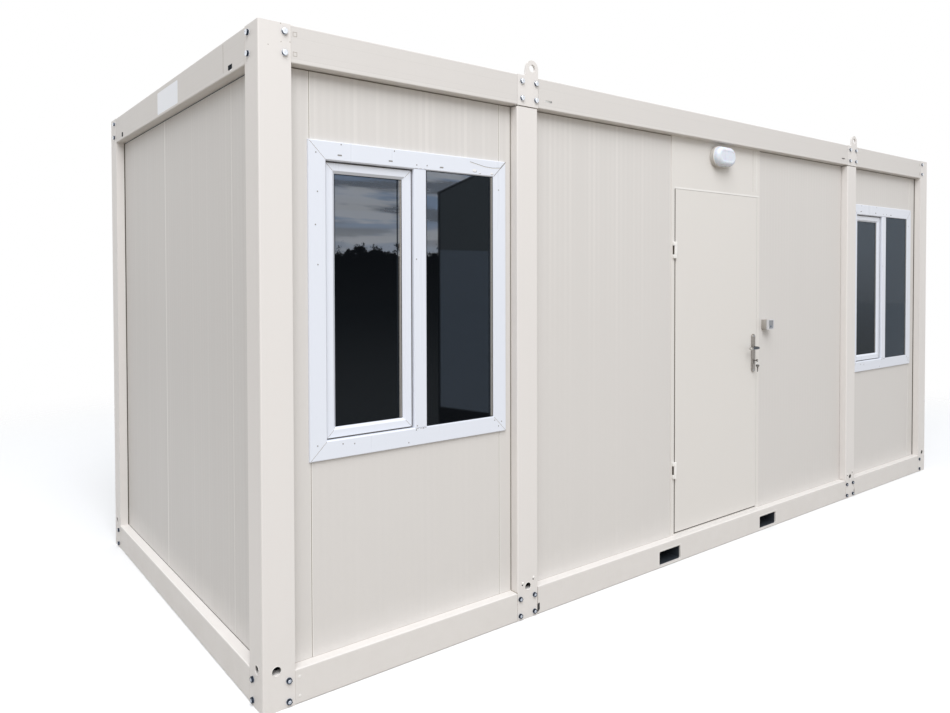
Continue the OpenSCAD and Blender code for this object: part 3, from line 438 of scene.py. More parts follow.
def keep(name, mesh, body, sharpest=35):  # a finished mesh becomes a piece that rides on a body
    piece = bpy.data.objects.new(name, mesh)
    bpy.context.scene.collection.objects.link(piece)
    mesh.shade_smooth()
    mesh.set_sharp_from_angle(angle=radians(sharpest))
    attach(piece, body)
    return piece


def finishShape(name, shape, material, body="cabin", sharpest=35):
    bmesh.ops.recalc_face_normals(shape, faces=shape.faces)
    mesh = bpy.data.meshes.new(name)
    shape.to_mesh(mesh)
    shape.free()
    mesh.materials.append(material)
    return keep(name, mesh, body, sharpest)


def newShapes(count):
    return [bmesh.new() for k in range(count)]


def skin(shape, rings, closed=False):  # faces between rings of points, with both ends shut
    made = [[shape.verts.new(p) for p in ring] for ring in rings]
    count = len(made[0])
    for a, b in list(zip(made, made[1:])) + ([(made[-1], made[0])] if closed else []):
        for i in range(count):
            j = (i + 1) % count
            shape.faces.new((a[i], a[j], b[j], b[i]))
    if not closed:
        shape.faces.new(made[0][::-1])
        shape.faces.new(made[-1])


def addBlock(shape, low, high, edge=0.0, steps=2):  # a box with rounded edges
    low, high = Vector(low), Vector(high)
    matrix = Matrix.Translation((low + high) / 2) @ Matrix.Diagonal((*(high - low), 1.0))
    made = bmesh.ops.create_cube(shape, size=1.0, matrix=matrix)["verts"]
    if edge:
        edges = list(dict.fromkeys(e for v in made for e in v.link_edges))
        bmesh.ops.bevel(shape, geom=edges, offset=edge, offset_type="OFFSET", segments=steps, profile=.5,
                        affect="EDGES", clamp_overlap=True)


def addTurned(shape, profile, centre, axis, sides=32):  # a profile of (radius, height) turned about an axis
    axis = Vector(axis).normalized()
    u = axis.orthogonal().normalized()
    v = axis.cross(u)
    skin(shape, [[Vector(centre) + axis * h + (u * cos(2 * pi * i / sides) + v * sin(2 * pi * i / sides)) * r
                  for i in range(sides)] for r, h in profile])


def addTube(shape, points, radii, sides=16, closed=False):  # a round bar along points
    rings, normal, count = [], None, len(points)
    for i, p in enumerate(points):
        ahead = points[(i + 1) % count] if closed or i < count - 1 else p
        behind = points[i - 1] if closed or i else p
        way = (ahead - behind).normalized()
        normal = way.orthogonal() if normal is None else normal
        normal = (normal - way * normal.dot(way)).normalized()
        beside = way.cross(normal)
        rings.append([p + (normal * cos(2 * pi * k / sides) + beside * sin(2 * pi * k / sides)) * radii[i]
                      for k in range(sides)])
    skin(shape, rings, closed)


def ovalRing(centre, width, height, y, steps=14):  # round-ended outline facing the front
    r = min(width, height) / 2
    half = (max(width, height) - 2 * r) / 2
    points = []
    for turned in (0, 1):
        for k in range(steps + 1):
            a = pi * (k / steps - .5 + turned)
            p = (r * cos(a) + half * (1 - 2 * turned), r * sin(a))
            points.append(p if width >= height else (p[1], p[0]))
    return [Vector((centre[0] + p[0], y, centre[1] + p[1])) for p in points]


def addOval(shape, profile, centre, width, height, y0, steps=14):  # profile of (inset, forward)
    skin(shape, [ovalRing(centre, width - 2 * inset, height - 2 * inset, y0 - forward, steps)
                 for inset, forward in profile])


def addStrip(shape, a, b, out, width, lift):  # a thin line from a to b, standing lift out of a face
    a, b, out = Vector(a), Vector(b), Vector(out)
    across = (b - a).cross(out).normalized() * width / 2
    skin(shape, [[a - across + rise, a + across + rise, b + across + rise, b - across + rise]
                 for rise in (out * -lift, out * lift)])


def addFrame(shape, low, high, wide, y0, y1):  # a square ring seen from the front
    rings = []
    for y, i in ((y0, 0), (y0, wide), (y1, wide), (y1, 0)):
        rings.append([Vector((x, y, z)) for x, z in ((low.x + i, low.z + i), (high.x - i, low.z + i),
                                                     (high.x - i, high.z - i), (low.x + i, high.z - i))])
    skin(shape, rings, closed=True)


def arc(start, end, steps):  # angles from start to end in degrees
    return [radians(start + (end - start) * k / steps) for k in range(steps + 1)]


# Geometry Nodes: a tree with named inputs, whose shape build returns
def geometryNode(tree, kind, **inputs):
    return addNode(tree, "GeometryNode" + kind, {key.replace("_", " "): inputs[key] for key in inputs})[0]


def newPattern(name, build, **inputs):
    tree = bpy.data.node_groups.new(name, "GeometryNodeTree")
    tree.interface.new_socket(name="Geometry", in_out="INPUT", socket_type="NodeSocketGeometry")
    for label, value in inputs.items():
        kind = "NodeSocketInt" if isinstance(value, int) else "NodeSocketFloat"
        tree.interface.new_socket(name=label, in_out="INPUT", socket_type=kind).default_value = value
    tree.interface.new_socket(name="Material", in_out="INPUT", socket_type="NodeSocketMaterial")
    tree.interface.new_socket(name="Geometry", in_out="OUTPUT", socket_type="NodeSocketGeometry")
    given = tree.nodes.new("NodeGroupInput").outputs
    real = geometryNode(tree, "RealizeInstances", Geometry=build(tree, given))
    done = geometryNode(tree, "SetMaterial", Geometry=real, Material=given["Material"])
    feed(tree.nodes.new("NodeGroupOutput").inputs, {0: done})
    return tree


# runs a pattern on points, each a pair of place and way out of the surface, or on lines, each a list of points
def grow(name, places, pattern, material, slot, body="cabin", **sizes):
    mesh = bpy.data.meshes.new(name)
    if isinstance(places[0], tuple):
        mesh.from_pydata([point for point, out in places], [], [])
        facing = mesh.attributes.new("facing", "FLOAT_VECTOR", "POINT")
        for item, (point, out) in zip(facing.data, places):
            item.vector = out
    else:
        points, edges = [], []
        for run in places:
            edges += [(len(points) + i, len(points) + i + 1) for i in range(len(run) - 1)]
            points += run
        mesh.from_pydata(points, edges, [])
    seed = bpy.data.objects.new(name + "Seed", mesh)
    bpy.context.scene.collection.objects.link(seed)
    modifier = seed.modifiers.new("pattern", "NODES")
    modifier.node_group = pattern
    sizes["Material"] = material
    for item in pattern.interface.items_tree:
        if item.in_out == "INPUT" and item.name in sizes:
            modifier[item.identifier] = sizes[item.name]
    grown = bpy.data.meshes.new_from_object(seed.evaluated_get(bpy.context.evaluated_depsgraph_get()))
    bpy.data.objects.remove(seed)
    grown.name = name
    return keep(name, grown, body)


def turnedOut(tree, given, head):  # a head at each point, turned to face its way and spun at random
    facing = addNode(tree, "GeometryNodeInputNamedAttribute", {"Name": "facing"}, data_type="FLOAT_VECTOR")[0]
    turn = addNode(tree, "FunctionNodeAlignRotationToVector", {"Vector": facing}, axis="Z")[0]
    placed = geometryNode(tree, "InstanceOnPoints", Points=given["Geometry"], Instance=head, Rotation=turn)
    spin = addNode(tree, "FunctionNodeRandomValue", {2: 0.0, 3: 2 * pi, "Seed": given["Seed"]},
                   data_type="FLOAT")[1]
    angle = addNode(tree, "ShaderNodeCombineXYZ", {2: spin})[0]
    return geometryNode(tree, "RotateInstances", Instances=placed, Rotation=angle)


def raised(tree, shape, height):
    lift = addNode(tree, "ShaderNodeCombineXYZ", {2: height})[0]
    return geometryNode(tree, "Transform", Geometry=shape, Translation=lift)


def markShadedFlank(tree, shape):  # marks a part whose faces the zinc coat darkens as painted shade
    return addNode(tree, "GeometryNodeStoreNamedAttribute", {"Geometry": shape, "Name": "flankShade", "Value": 1.0},
                   data_type="FLOAT", domain="POINT")[0]


# washer, hexagon with a turned-down top, and the end of the shank
def boltShape(tree, given):
    radius, height, thick = times(given["Across"], .5), given["Height"], given["Thick"]
    washer = geometryNode(tree, "MeshCylinder", Vertices=28, Radius=times(given["Washer"], .5), Depth=thick)
    body = geometryNode(tree, "MeshCylinder", Vertices=6, Radius=radius, Depth=height)
    crown = geometryNode(tree, "MeshCone", Vertices=12, Radius_Top=times(radius, given["Crown"]),
                         Radius_Bottom=times(radius, plus(given["Crown"], .22)), Depth=times(height, .22))
    shank = geometryNode(tree, "MeshCone", Vertices=16, Radius_Top=times(given["Shank"], .42),
                         Radius_Bottom=times(given["Shank"], .5), Depth=times(height, .55))
    above = plus(thick, height)
    bolt = tree.nodes.new("GeometryNodeJoinGeometry")
    for part in (raised(tree, washer, times(thick, .5)),
                 raised(tree, markShadedFlank(tree, body), plus(thick, times(height, .5))),
                 raised(tree, crown, less(above, .0001)), raised(tree, markShadedFlank(tree, shank), plus(above, .0001))):
        tree.links.new(part, bolt.inputs[0])
    return turnedOut(tree, given, bolt.outputs[0])


# low round screw head
def screwShape(tree, given):
    radius = times(given["Across"], .5)
    return turnedOut(tree, given, geometryNode(tree, "MeshCone", Vertices=18, Radius_Top=times(radius, .7),
                                               Radius_Bottom=radius, Depth=given["Height"]))


# round bead of sealant or rubber along lines
def beadShape(tree, given):
    path = geometryNode(tree, "MeshToCurve", Mesh=given["Geometry"])
    section = geometryNode(tree, "CurvePrimitiveCircle", Resolution=10, Radius=given["Radius"])
    return geometryNode(tree, "CurveToMesh", Curve=path, Profile_Curve=section, Fill_Caps=True)


boltPattern = newPattern("boltHeads", boltShape, Across=.024, Height=.0085, Washer=.0255, Thick=.001, Shank=.001,
                         Crown=.75, Seed=3)
screwPattern = newPattern("screwHeads", screwShape, Across=.008, Height=.002, Seed=5)
beadPattern = newPattern("beads", beadShape, Radius=.002)

frameBolts = {
    "cornerInset": .027, "endInset": .036,  # from a corner post's inner edge, on the long sides and on the ends
    "low": (.024, .108),                    # heights at the feet
    "high": (-.114, -.031),                 # heights under the top
    "footInsets": (.017, .024),             # from a middle post's left and right edge
    "headInset": .032, "headApart": .092,   # from the left edge of a head plate, and between its bolts
}


def cornerBolts(s, heights):
    along, across = end - cornerW + s["cornerInset"], side - cornerW + s["endInset"]
    places = []
    for h in heights:
        for sx in (-1, 1):
            for sy in (-1, 1):
                places.append((Vector((sx * along, sy * side, h)), Vector((0, sy, 0))))
                places.append((Vector((sx * end, sy * across, h)), Vector((sx, 0, 0))))
    return places


def postBolts(heights, insets):
    return [(Vector((x, sy * side, h)), Vector((0, sy, 0))) for h in heights for sy in (-1, 1)
            for low, high in (postLeft, postRight) for x in insets(low.x, high.x)]


def placeBolts(s):
    heads = [top + h for h in s["high"]]
    headAt, (footLeft, footRight) = s["headInset"], s["footInsets"]
    onHeads = postBolts(heads, lambda x0, x1: (x0 + headAt, x0 + headAt + s["headApart"]))
    onFeet = postBolts(s["low"], lambda x0, x1: (x0 + footLeft, x1 - footRight))
    grow("frameBolts", onHeads + cornerBolts(s, heads), boltPattern, zinc, "cylinder_metal")
    grow("footBolts", onFeet + cornerBolts(s, s["low"]), boltPattern, dullZinc, "cylinder_metal", Crown=.42, Seed=8)


placeBolts(frameBolts)
print("bolts made")

# dark beads in the joints beside and over the walls and along their feet, and in the corners beside the posts, set
# there as painted shade in the gaps
longWalls = ("front_wall_left", "front_wall_beside_door_left", "front_wall_beside_door_right", "front_wall_right",
             "back_wall_left", "back_wall_middle", "back_wall_right")
endWalls = ("end_wall_left", "end_wall_right")
gapShadeBeads = {"depth": .0034, "radius": .0026, "inset": .0025,
             "proud": .0006, "fine": .0009, "broad": .0044,      # in the corners
             "footRadius": .0011, "footOut": .0007}


def wallLine(name, inward, inset):  # both ends of a line along a wall's outer face, moved inwards and shortened
    low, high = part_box(name)
    if name in endWalls:
        x = low.x + inward if name == endWalls[0] else high.x - inward
        return Vector((x, low.y + inset, 0)), Vector((x, high.y - inset, 0))
    y = low.y + inward if name.startswith("front") else high.y - inward
    return Vector((low.x + inset, y, 0)), Vector((high.x - inset, y, 0))


def wallRuns(s, names):
    runs = []
    for name in names:
        a, b = wallLine(name, s["depth"], s["inset"])
        foot, head = Vector((0, 0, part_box(name)[0].z)), Vector((0, 0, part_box(name)[1].z - s["inset"]))
        run = [a + foot, a + head, b + head, b + foot]
        runs.append(run[:3] if name.endswith("door_left") else run[1:] if name.endswith("door_right") else run)
    return runs


def cornerRuns(s, names):
    return [[point + Vector((0, 0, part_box(name)[0].z + .002)), point + Vector((0, 0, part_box(name)[1].z - .002))]
            for name in names for point in wallLine(name, -s["proud"], s["proud"])]


def footRuns(s, names):
    up = Vector((0, 0, railTop + s["footOut"]))
    return [[point + up for point in wallLine(name, -s["footOut"], 0)] for name in names]


def placeBeads(s):
    broad = ("front_wall_right", "back_wall_right", *endWalls)
    for name, runs, material, radius in (
            ("gapShadeBeads", wallRuns(s, longWalls), shadeSeal, s["radius"]),
            ("endSeals", wallRuns(s, endWalls), slateSeal, s["radius"]),
            ("cornerSealsFine", cornerRuns(s, ("front_wall_left", "back_wall_left")), shadeSeal, s["fine"]),
            ("cornerSealsBroad", cornerRuns(s, broad), brownSeal, s["broad"]),
            ("footSeals", footRuns(s, longWalls), seamPale, s["footRadius"]),
            ("endFootSeals", footRuns(s, endWalls), brownSeal, s["footRadius"])):
        grow(name, runs, beadPattern, material, "switch_plastic", Radius=radius)


placeBeads(gapShadeBeads)

# dark lines down the joints between sheets, from the posts on, and by the filler over the door, with bright lines
# beside them and on the end walls' joints that are painted highlights
sheetJoints = {"joint": .0022, "deep": .0014, "bayJoints": (.098, 1.098), "endJoints": ((.295, .003), (1.295, .010)),
               "fillerJoint": .048, "bright": .0026, "brightAt": .0034, "lift": .0002}


def jointLines(s):
    (dark, pale), inside, lift = newShapes(2), s["deep"], s["lift"]
    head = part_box("front_wall_left")[1].z - .005
    front = Vector((0, -1, 0))
    for sx in (-1, 1):
        for at in s["bayJoints"]:
            x = sx * (end - cornerW - at)
            for z0, z1 in ((railTop, leftWindow[0].z), (leftWindow[1].z, head)):
                addStrip(dark, (x, wallFace + inside, z0), (x, wallFace + inside, z1), front, s["joint"], lift)
                for dx in (-s["brightAt"], s["brightAt"]):
                    addStrip(pale, (x + dx, wallFace, z0 + .004), (x + dx, wallFace, z1), front, s["bright"], lift)
        for at, wide in s["endJoints"]:
            y, x = -side + cornerW + at, sx * abs(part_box("end_wall_left")[0].x)
            addStrip(pale, (x, y, railTop + .003), (x, y, head), (sx, 0, 0), wide, lift)
    low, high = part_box("front_wall_over_door")
    x = high.x - s["fillerJoint"]
    addStrip(dark, (x, low.y + inside, low.z), (x, low.y + inside, head), front, s["joint"], lift)
    x = high.x - .004
    addStrip(pale, (x, low.y, low.z + .004), (x, low.y, head), front, .006, .0006)
    finishShape("wallJoints", dark, seamShade)
    finishShape("jointHighlights", pale, hingeAndHighlightPaint)


jointLines(sheetJoints)
print("seals made")

# windows: mitre lines, joints of the mullion, drain slots, screws and scuffs
windowMarks = {
    "bar": .075, "sashBar": .034, "edge": .003,          # face widths of frame and sash, bevel at their outer edges
    "mullionAt": .544, "mullionHalf": .029, "mullionLines": ((-1.0, -.45), (-.2, .3), (.6, 1.0)),
    "seam": .0014, "lift": .00025, "gasket": .0026,
    "slotSize": (.021, .0065),
    "slots": ((.142, .0545), (.389, .0555), (.661, .060)),        # from the left edge and below the top
    "screws": ((.034, .051), (.040, .2105), (.030, .346), (.040, .510), (.034, 1.255), (.149, .009), (.4085, .010),
               (.525, .060), (.581, .058), (.522, .482), (.999, .140), (.477, 1.302), (.518, 1.250), (.557, 1.246),
               (.523, 1.232), (.973, 1.260), (.997, 1.291), (1.016, 1.2705), (.150, 1.262), (.205, 1.268)),
}


def windowDetails(s):
    (seams, slots, gaskets), screws = newShapes(3), []
    out = Vector((0, -1, 0))
    for frameBox, sashBox in zip(looseParts("window_frames"), looseParts("window_sashes")):
        for (low, high), bar in ((frameBox, s["bar"]), (sashBox, s["sashBar"])):
            for x, dx in ((low.x, 1), (high.x, -1)):
                for z, dz in ((low.z, 1), (high.z, -1)):
                    addStrip(seams, (x + dx * s["edge"], low.y, z + dz * s["edge"]),
                             (x + dx * bar, low.y, z + dz * bar), out, s["seam"], s["lift"])
        addFrame(gaskets, *sashBox, s["gasket"], sashBox[0].y - .0006, sashBox[0].y + .002)
        low, high = frameBox
        middle = low.x + s["mullionAt"]
        for z in (low.z + s["bar"], high.z - s["bar"]):
            for x0, x1 in s["mullionLines"]:
                addStrip(seams, (middle + x0 * s["mullionHalf"], low.y, z), (middle + x1 * s["mullionHalf"], low.y, z),
                         out, s["seam"], s["lift"])
        for u, drop in s["slots"]:
            skin(slots, [ovalRing((low.x + u, high.z - drop), *s["slotSize"], low.y - d, 6) for d in (-.0003, .0003)])
        screws += [(Vector((low.x + u, low.y, high.z - drop)), out) for u, drop in s["screws"]]
    finishShape("windowSeams", seams, seamShade)
    finishShape("windowSlots", slots, scuff)
    finishShape("sashGaskets", gaskets, brownSeal)
    grow("windowScrews", screws, screwPattern, scuff, "window_plastic", Across=.0062, Height=.0012)


windowDetails(windowMarks)

# the left window's upper right corner: a scratch, chips in the surface, each with a painted shadow under it, and an
# opened mitre
wornCorner = {
    "scratch": ((.8245, .018), (.8686, .026), (.913, .034), (.959, .0365), (1.014, .032)), "scratchWide": .0026,
    "mitre": ((1.0435, .0016), (1.010, .035), (.971, .074)), "mitreWide": (.0050, .0026),
    "chips": ((.851, .0575, .024), (.882, .0655, .013), (.956, .064, .017)),
}


def wearCorner(s):
    dark, bright = newShapes(2)
    low, high = leftWindow
    out = Vector((0, -1, 0))

    def at(u, drop):
        return Vector((low.x + u, low.y, high.z - drop))

    for a, b in zip(s["scratch"], s["scratch"][1:]):
        addStrip(dark, at(*a), at(*b), out, s["scratchWide"], .0003)
        addStrip(bright, at(a[0], a[1] + .003), at(b[0], b[1] + .003), out, s["scratchWide"], .0003)
    for a, b, wide in zip(s["mitre"], s["mitre"][1:], s["mitreWide"]):
        addStrip(dark, at(*a), at(*b), out, wide, .0004)
    for u, drop, size in s["chips"]:
        # the dark oval set down and right of each chip is a painted shadow
        for shape, shift, proud in ((dark, .002, .0003), (bright, 0, .0009)):
            centre = (low.x + u + shift, high.z - drop - shift)
            skin(shape, [ovalRing(centre, size, size * .5, low.y - d, 8) for d in (-.0003, proud)])
    finishShape("windowScratchAndChipShadows", dark, scuff)
    finishShape("windowChips", bright, chipPale)


wearCorner(wornCorner)

# double glazing: two sheets, the edges of the spacer between them and a gasket around the outer one
glazingSizes = {"sheet": .004, "gasketWide": .0026, "gasketProud": .0010,
                "forward": .015,         # the fixed sheet lies near its bead's face
                "edges": ((.0020, .0098, 0), (.0125, .0145, 0), (.0195, .0255, 1))}     # the spacer's, bright or dark


def doubleGlazing(s):
    sheets, spacers, lines, gaskets = newShapes(4)
    for index, (low, high) in enumerate(looseParts("window_panes")):
        front = low.y - (s["forward"] if index % 2 else 0)
        for y in (front, high.y - s["sheet"]):
            addBlock(sheets, (low.x, y, low.z), (high.x, y + s["sheet"], high.z), .0006, 1)
        for near, far, dark in s["edges"]:
            addBlock(lines if dark else spacers, (high.x - far, front - .0003, low.z),
                     (high.x - near, front + .0005, high.z), .0002, 1)
        addFrame(gaskets, low, high, s["gasketWide"], front - s["gasketProud"], front + .0005)
    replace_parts(finishShape("paneSheets", sheets, paneGlass), "window_panes")
    finishShape("paneSpacers", spacers, spacerMetal)
    finishShape("paneLines", lines, darkRubber)
    finishShape("paneGaskets", gaskets, darkRubber)


doubleGlazing(glazingSizes)
print("windows dressed")

# door: a drip strip over the leaf in the lighter paint, partly a painted highlight, and dark seals beside and under it
# as painted shade in the gaps
openLow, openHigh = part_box("door_frame")
doorGapShade = {"stripProud": .0010, "strip": (.0022, .0125), "sealBack": .007, "sealDeep": .012,
             "hingeSealProud": .0004, "hingeSealWide": .0025, "clear": .0012}


def doorStrips(s):
    strip, seal = newShapes(2)
    face = openLow.y
    x0, x1 = doorLow.x - .0055, doorHigh.x + .0055
    addBlock(strip, (x0 - .004, face - s["stripProud"], doorHigh.z + s["strip"][0]),
             (openHigh.x - .002, face + .004, doorHigh.z + s["strip"][1]), .0008, 1)
    y0, y1 = face + s["sealBack"], face + s["sealBack"] + s["sealDeep"]
    addBlock(seal, (x0 - s["hingeSealWide"], face - s["hingeSealProud"], doorLow.z - .010),
             (doorLow.x - s["clear"], y1, doorHigh.z), .0005, 1)
    addBlock(seal, (doorHigh.x + s["clear"], y0, doorLow.z - .010), (x1 + .0005, y1, doorHigh.z), .0005, 1)
    addBlock(seal, (x0, y0, doorLow.z - .0105), (x1, y1, doorLow.z - s["clear"] - .001), .0005, 1)
    finishShape("doorDripStrip", strip, hingeAndHighlightPaint)
    finishShape("doorGapShade", seal, brownSeal)


doorStrips(doorGapShade)

# hinges: rounded knuckles, lugs on the frame and a plate on the leaf
hingeSizes = {"radius": .009, "endRound": .003, "lug": .016, "knuckle": .052, "play": .0006, "plate": .0225,
              "plateThick": .004}


def makeHinges(s):
    fixed, moving, gapShade = newShapes(3)
    r, e = s["radius"], s["endRound"]
    up = (0, 0, 1)
    for low, high in looseParts("hinges_fixed"):
        axis = Vector((high.x - r, low.y + r, low.z))
        tall = high.z - low.z
        long = (tall - s["knuckle"]) / 2 - s["play"]
        turned = [(.001, 0), (r - e, .0002)]
        turned += [(r - e + e * sin(a), e - e * cos(a)) for a in arc(20, 90, 4)] + [(r, long)]
        addTurned(fixed, turned, axis, up)
        addTurned(fixed, [(p, tall - h) for p, h in turned[::-1]], axis, up)
        addTurned(fixed, [(.0045, long * .5), (.0045, tall - long * .5)], axis, up, 16)
        for z in (low.z, high.z - long):
            addBlock(fixed, (axis.x - s["lug"], axis.y, z), (axis.x - r * .5, high.y, z + long), .0015)
        middle = low.z + long + s["play"]
        start = middle - low.z
        addTurned(moving, [(r - .0006, start), (r, start + .0006), (r, start + s["knuckle"] - .0006),
                           (r - .0006, start + s["knuckle"])], axis, up)
        addBlock(moving, (axis.x, doorLow.y - s["plateThick"], middle),
                 (axis.x + s["plate"], doorLow.y, middle + s["knuckle"]), .0012)
        # a dark block on the jamb behind the middle knuckle: painted shade in the gap there
        addBlock(gapShade, (axis.x - s["lug"] + .001, high.y - .0015, middle),
                 (axis.x - .002, high.y + .0005, middle + s["knuckle"]))
    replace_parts(finishShape("hingeKnucklesFixed", fixed, hingeAndHighlightPaint), "hinges_fixed")
    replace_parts(finishShape("hingeKnucklesMoving", moving, hingeAndHighlightPaint, "door"), "hinges_moving")
    finishShape("hingeShade", gapShade, brownSeal)


makeHinges(hingeSizes)

# lock: bevelled back plates, lever, key cylinder and the keys in it
lockSizes = {"bevel": .004, "collar": .0125, "collarProud": .0035, "leverRadius": .0095, "bend": .018,
             "cylinderRadius": .0085, "cylinderWeb": .005, "cylinderHigh": .033, "slot": (.0022, .009)}


def makeLock(s):
    plates = bmesh.new()
    low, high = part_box("lock_plates")
    centre = ((low.x + high.x) / 2, (low.z + high.z) / 2)
    wide, tall = high.x - low.x, high.z - low.z
    thick = doorLow.y - low.y
    b, collar, proud = s["bevel"], s["collar"], s["collarProud"]
    profile = [(0, 0), (0, thick - b), (b * .35, thick - b * .35), (b, thick)]
    leverLow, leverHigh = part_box("lever_handle")
    leverZ = (leverLow.z + leverHigh.z) / 2
    lockX = centre[0]
    screws = []
    for face, way in ((doorLow.y, 1), (doorHigh.y, -1)):
        skin(plates, [ovalRing(centre, wide - 2 * i, tall - 2 * i, face - way * f) for i, f in profile])
        addTurned(plates, [(collar, 0), (collar, proud * .7), (collar - .001, proud)],
                  (lockX, face - way * thick, leverZ), (0, -way, 0))
        for z in (high.z - .014, low.z + .014):
            screws.append((Vector((lockX, face - way * thick, z)), Vector((0, -way, 0))))
    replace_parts(finishShape("lockBackPlates", plates, nickelUpright, "door"), "lock_plates")
    grow("lockScrews", screws, screwPattern, dullZinc, "nickel", "door", Across=.0085, Height=.003)

    lever = bmesh.new()
    r, bend = s["leverRadius"], s["bend"]
    tip = leverLow.x + r
    for outer, face, way in ((leverLow.y + r, doorLow.y, 1), (leverHigh.y - r, doorHigh.y, -1)):
        run = [Vector((lockX, face, leverZ)), Vector((lockX, outer + way * bend, leverZ))]
        run += [Vector((lockX - bend + bend * cos(a), outer + way * (bend - bend * sin(a)), leverZ))
                for a in arc(10, 90, 8)]
        run += [Vector((tip + (lockX - bend - tip) * (1 - k / 4), outer, leverZ)) for k in range(1, 5)]
        radii = [r * .86] * 2 + [r * .9] * 9 + [r * .92, r * .95, r * .98, r]
        run += [Vector((tip - r * sin(a), outer, leverZ)) for a in arc(20, 84, 4)]
        radii += [r * cos(a) for a in arc(20, 84, 4)]
        addTube(lever, run, radii, 24)
    addBlock(lever, (lockX - .0045, doorLow.y, leverZ - .0045), (lockX + .0045, doorHigh.y, leverZ + .0045), .0004, 1)
    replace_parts(finishShape("leverPair", lever, nickelAcross, "lever"), "lever_handle")

    body, slots = newShapes(2)
    low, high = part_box("lock_cylinder")
    cr, web = s["cylinderRadius"], s["cylinderWeb"]
    cz = high.z - cr
    meet = asin(web / cr)
    outline = [(cr * cos(a), cr * sin(a)) for a in [meet - pi / 2 + 2 * (pi - meet) * k / 28 for k in range(29)]]
    drop = -(s["cylinderHigh"] - cr - web)
    outline += [(web * cos(a), drop + web * sin(a)) for a in arc(180, 360, 8)]
    rings = []
    for y, scale in ((low.y, .93), (low.y + .0008, 1.0), (high.y - .0008, 1.0), (high.y, .93)):
        rings.append([Vector((lockX + u * scale, y, cz + v * scale)) for u, v in outline])
    skin(body, rings)
    w, h = s["slot"]
    for y, way in ((low.y, 1), (high.y, -1)):
        addBlock(slots, (lockX - w / 2, y - .0002, cz - h / 2), (lockX + w / 2, y + .0002, cz + h / 2))
        addTurned(body, [(cr * .62, 0), (cr * .62, .0006), (cr * .56, .0009)], (lockX, y, cz), (0, -way, 0))
    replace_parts(finishShape("keyCylinder", body, brassNickel, "door"), "lock_cylinder")
    finishShape("keySlots", slots, brownSeal, "door")
    return Vector((lockX, low.y, cz))


cylinderFront = makeLock(lockSizes)

keySizes = {"bowRadius": .0085, "bowThick": .0022, "blade": .0075, "bladeLong": .034, "out": .012,
            "ringRadius": .015, "ringWire": .0011, "tilt": 9}


def addKey(shape, bow, down, across, s):  # a round bow with a hole, and a blade from it along down
    r, t = s["bowRadius"], s["bowThick"]
    out = down.cross(across).normalized()
    hole = r * .35
    up = -down
    rings = []
    for radius, lift in ((r, -t / 2), (r, t / 2), (hole, t / 2), (hole, -t / 2)):
        rings.append([bow + (across * cos(2 * pi * k / 24) + up * sin(2 * pi * k / 24)) * radius + out * lift
                      + (up * r * .45 if radius == hole else Vector()) for k in range(24)])
    skin(shape, rings, closed=True)
    b = s["blade"] / 2
    tip = bow + down * (r * .9 + s["bladeLong"])
    start = bow + down * r * .9
    notches = [(0, b), (.2, b), (.25, b * .5), (.4, b * .75), (.5, b * .3), (.65, b * .7), (.8, b * .4), (1.0, b * .1)]
    along = tip - start
    profile = [start + along * f + across * v for f, v in notches]
    profile += [tip - across * b * .6, start + along * .9 - across * b, start - across * b]
    skin(shape, [[p - out * t * .4 for p in profile], [p + out * t * .4 for p in profile]])


def makeKeys(s):
    keys, wire = newShapes(2)
    inward, up = Vector((0, 1, 0)), Vector((0, 0, 1))
    bow = cylinderFront - inward * (s["out"] + s["bowRadius"] * .9)
    addKey(keys, bow, inward, up, {**s, "bladeLong": s["out"] + .004})
    hook = bow - inward * s["bowRadius"] * .45
    centre = hook - up * s["ringRadius"]
    ring = [centre + Vector((cos(a) * .35, cos(a) * .94, sin(a))) * s["ringRadius"] for a in arc(0, 345, 23)]
    addTube(wire, ring, [s["ringWire"]] * len(ring), 10, closed=True)
    below = centre - up * s["ringRadius"]
    for turn, forward in ((s["tilt"], .003), (-s["tilt"] * .8, -.004)):
        down = Vector((sin(radians(turn)), 0, -cos(radians(turn))))
        across = down.cross(Vector((.5, .86, 0)).normalized()).normalized()
        addKey(keys, below + down * s["bowRadius"] * .5 + inward * forward, down, across, s)
    finishShape("keys", keys, brassNickel, "door")
    finishShape("keyRing", wire, zinc, "door")


makeKeys(keySizes)
print("door dressed")

# lamp over the door: stepped base, bezel and opal cover
lampSizes = {"coverRound": .026}


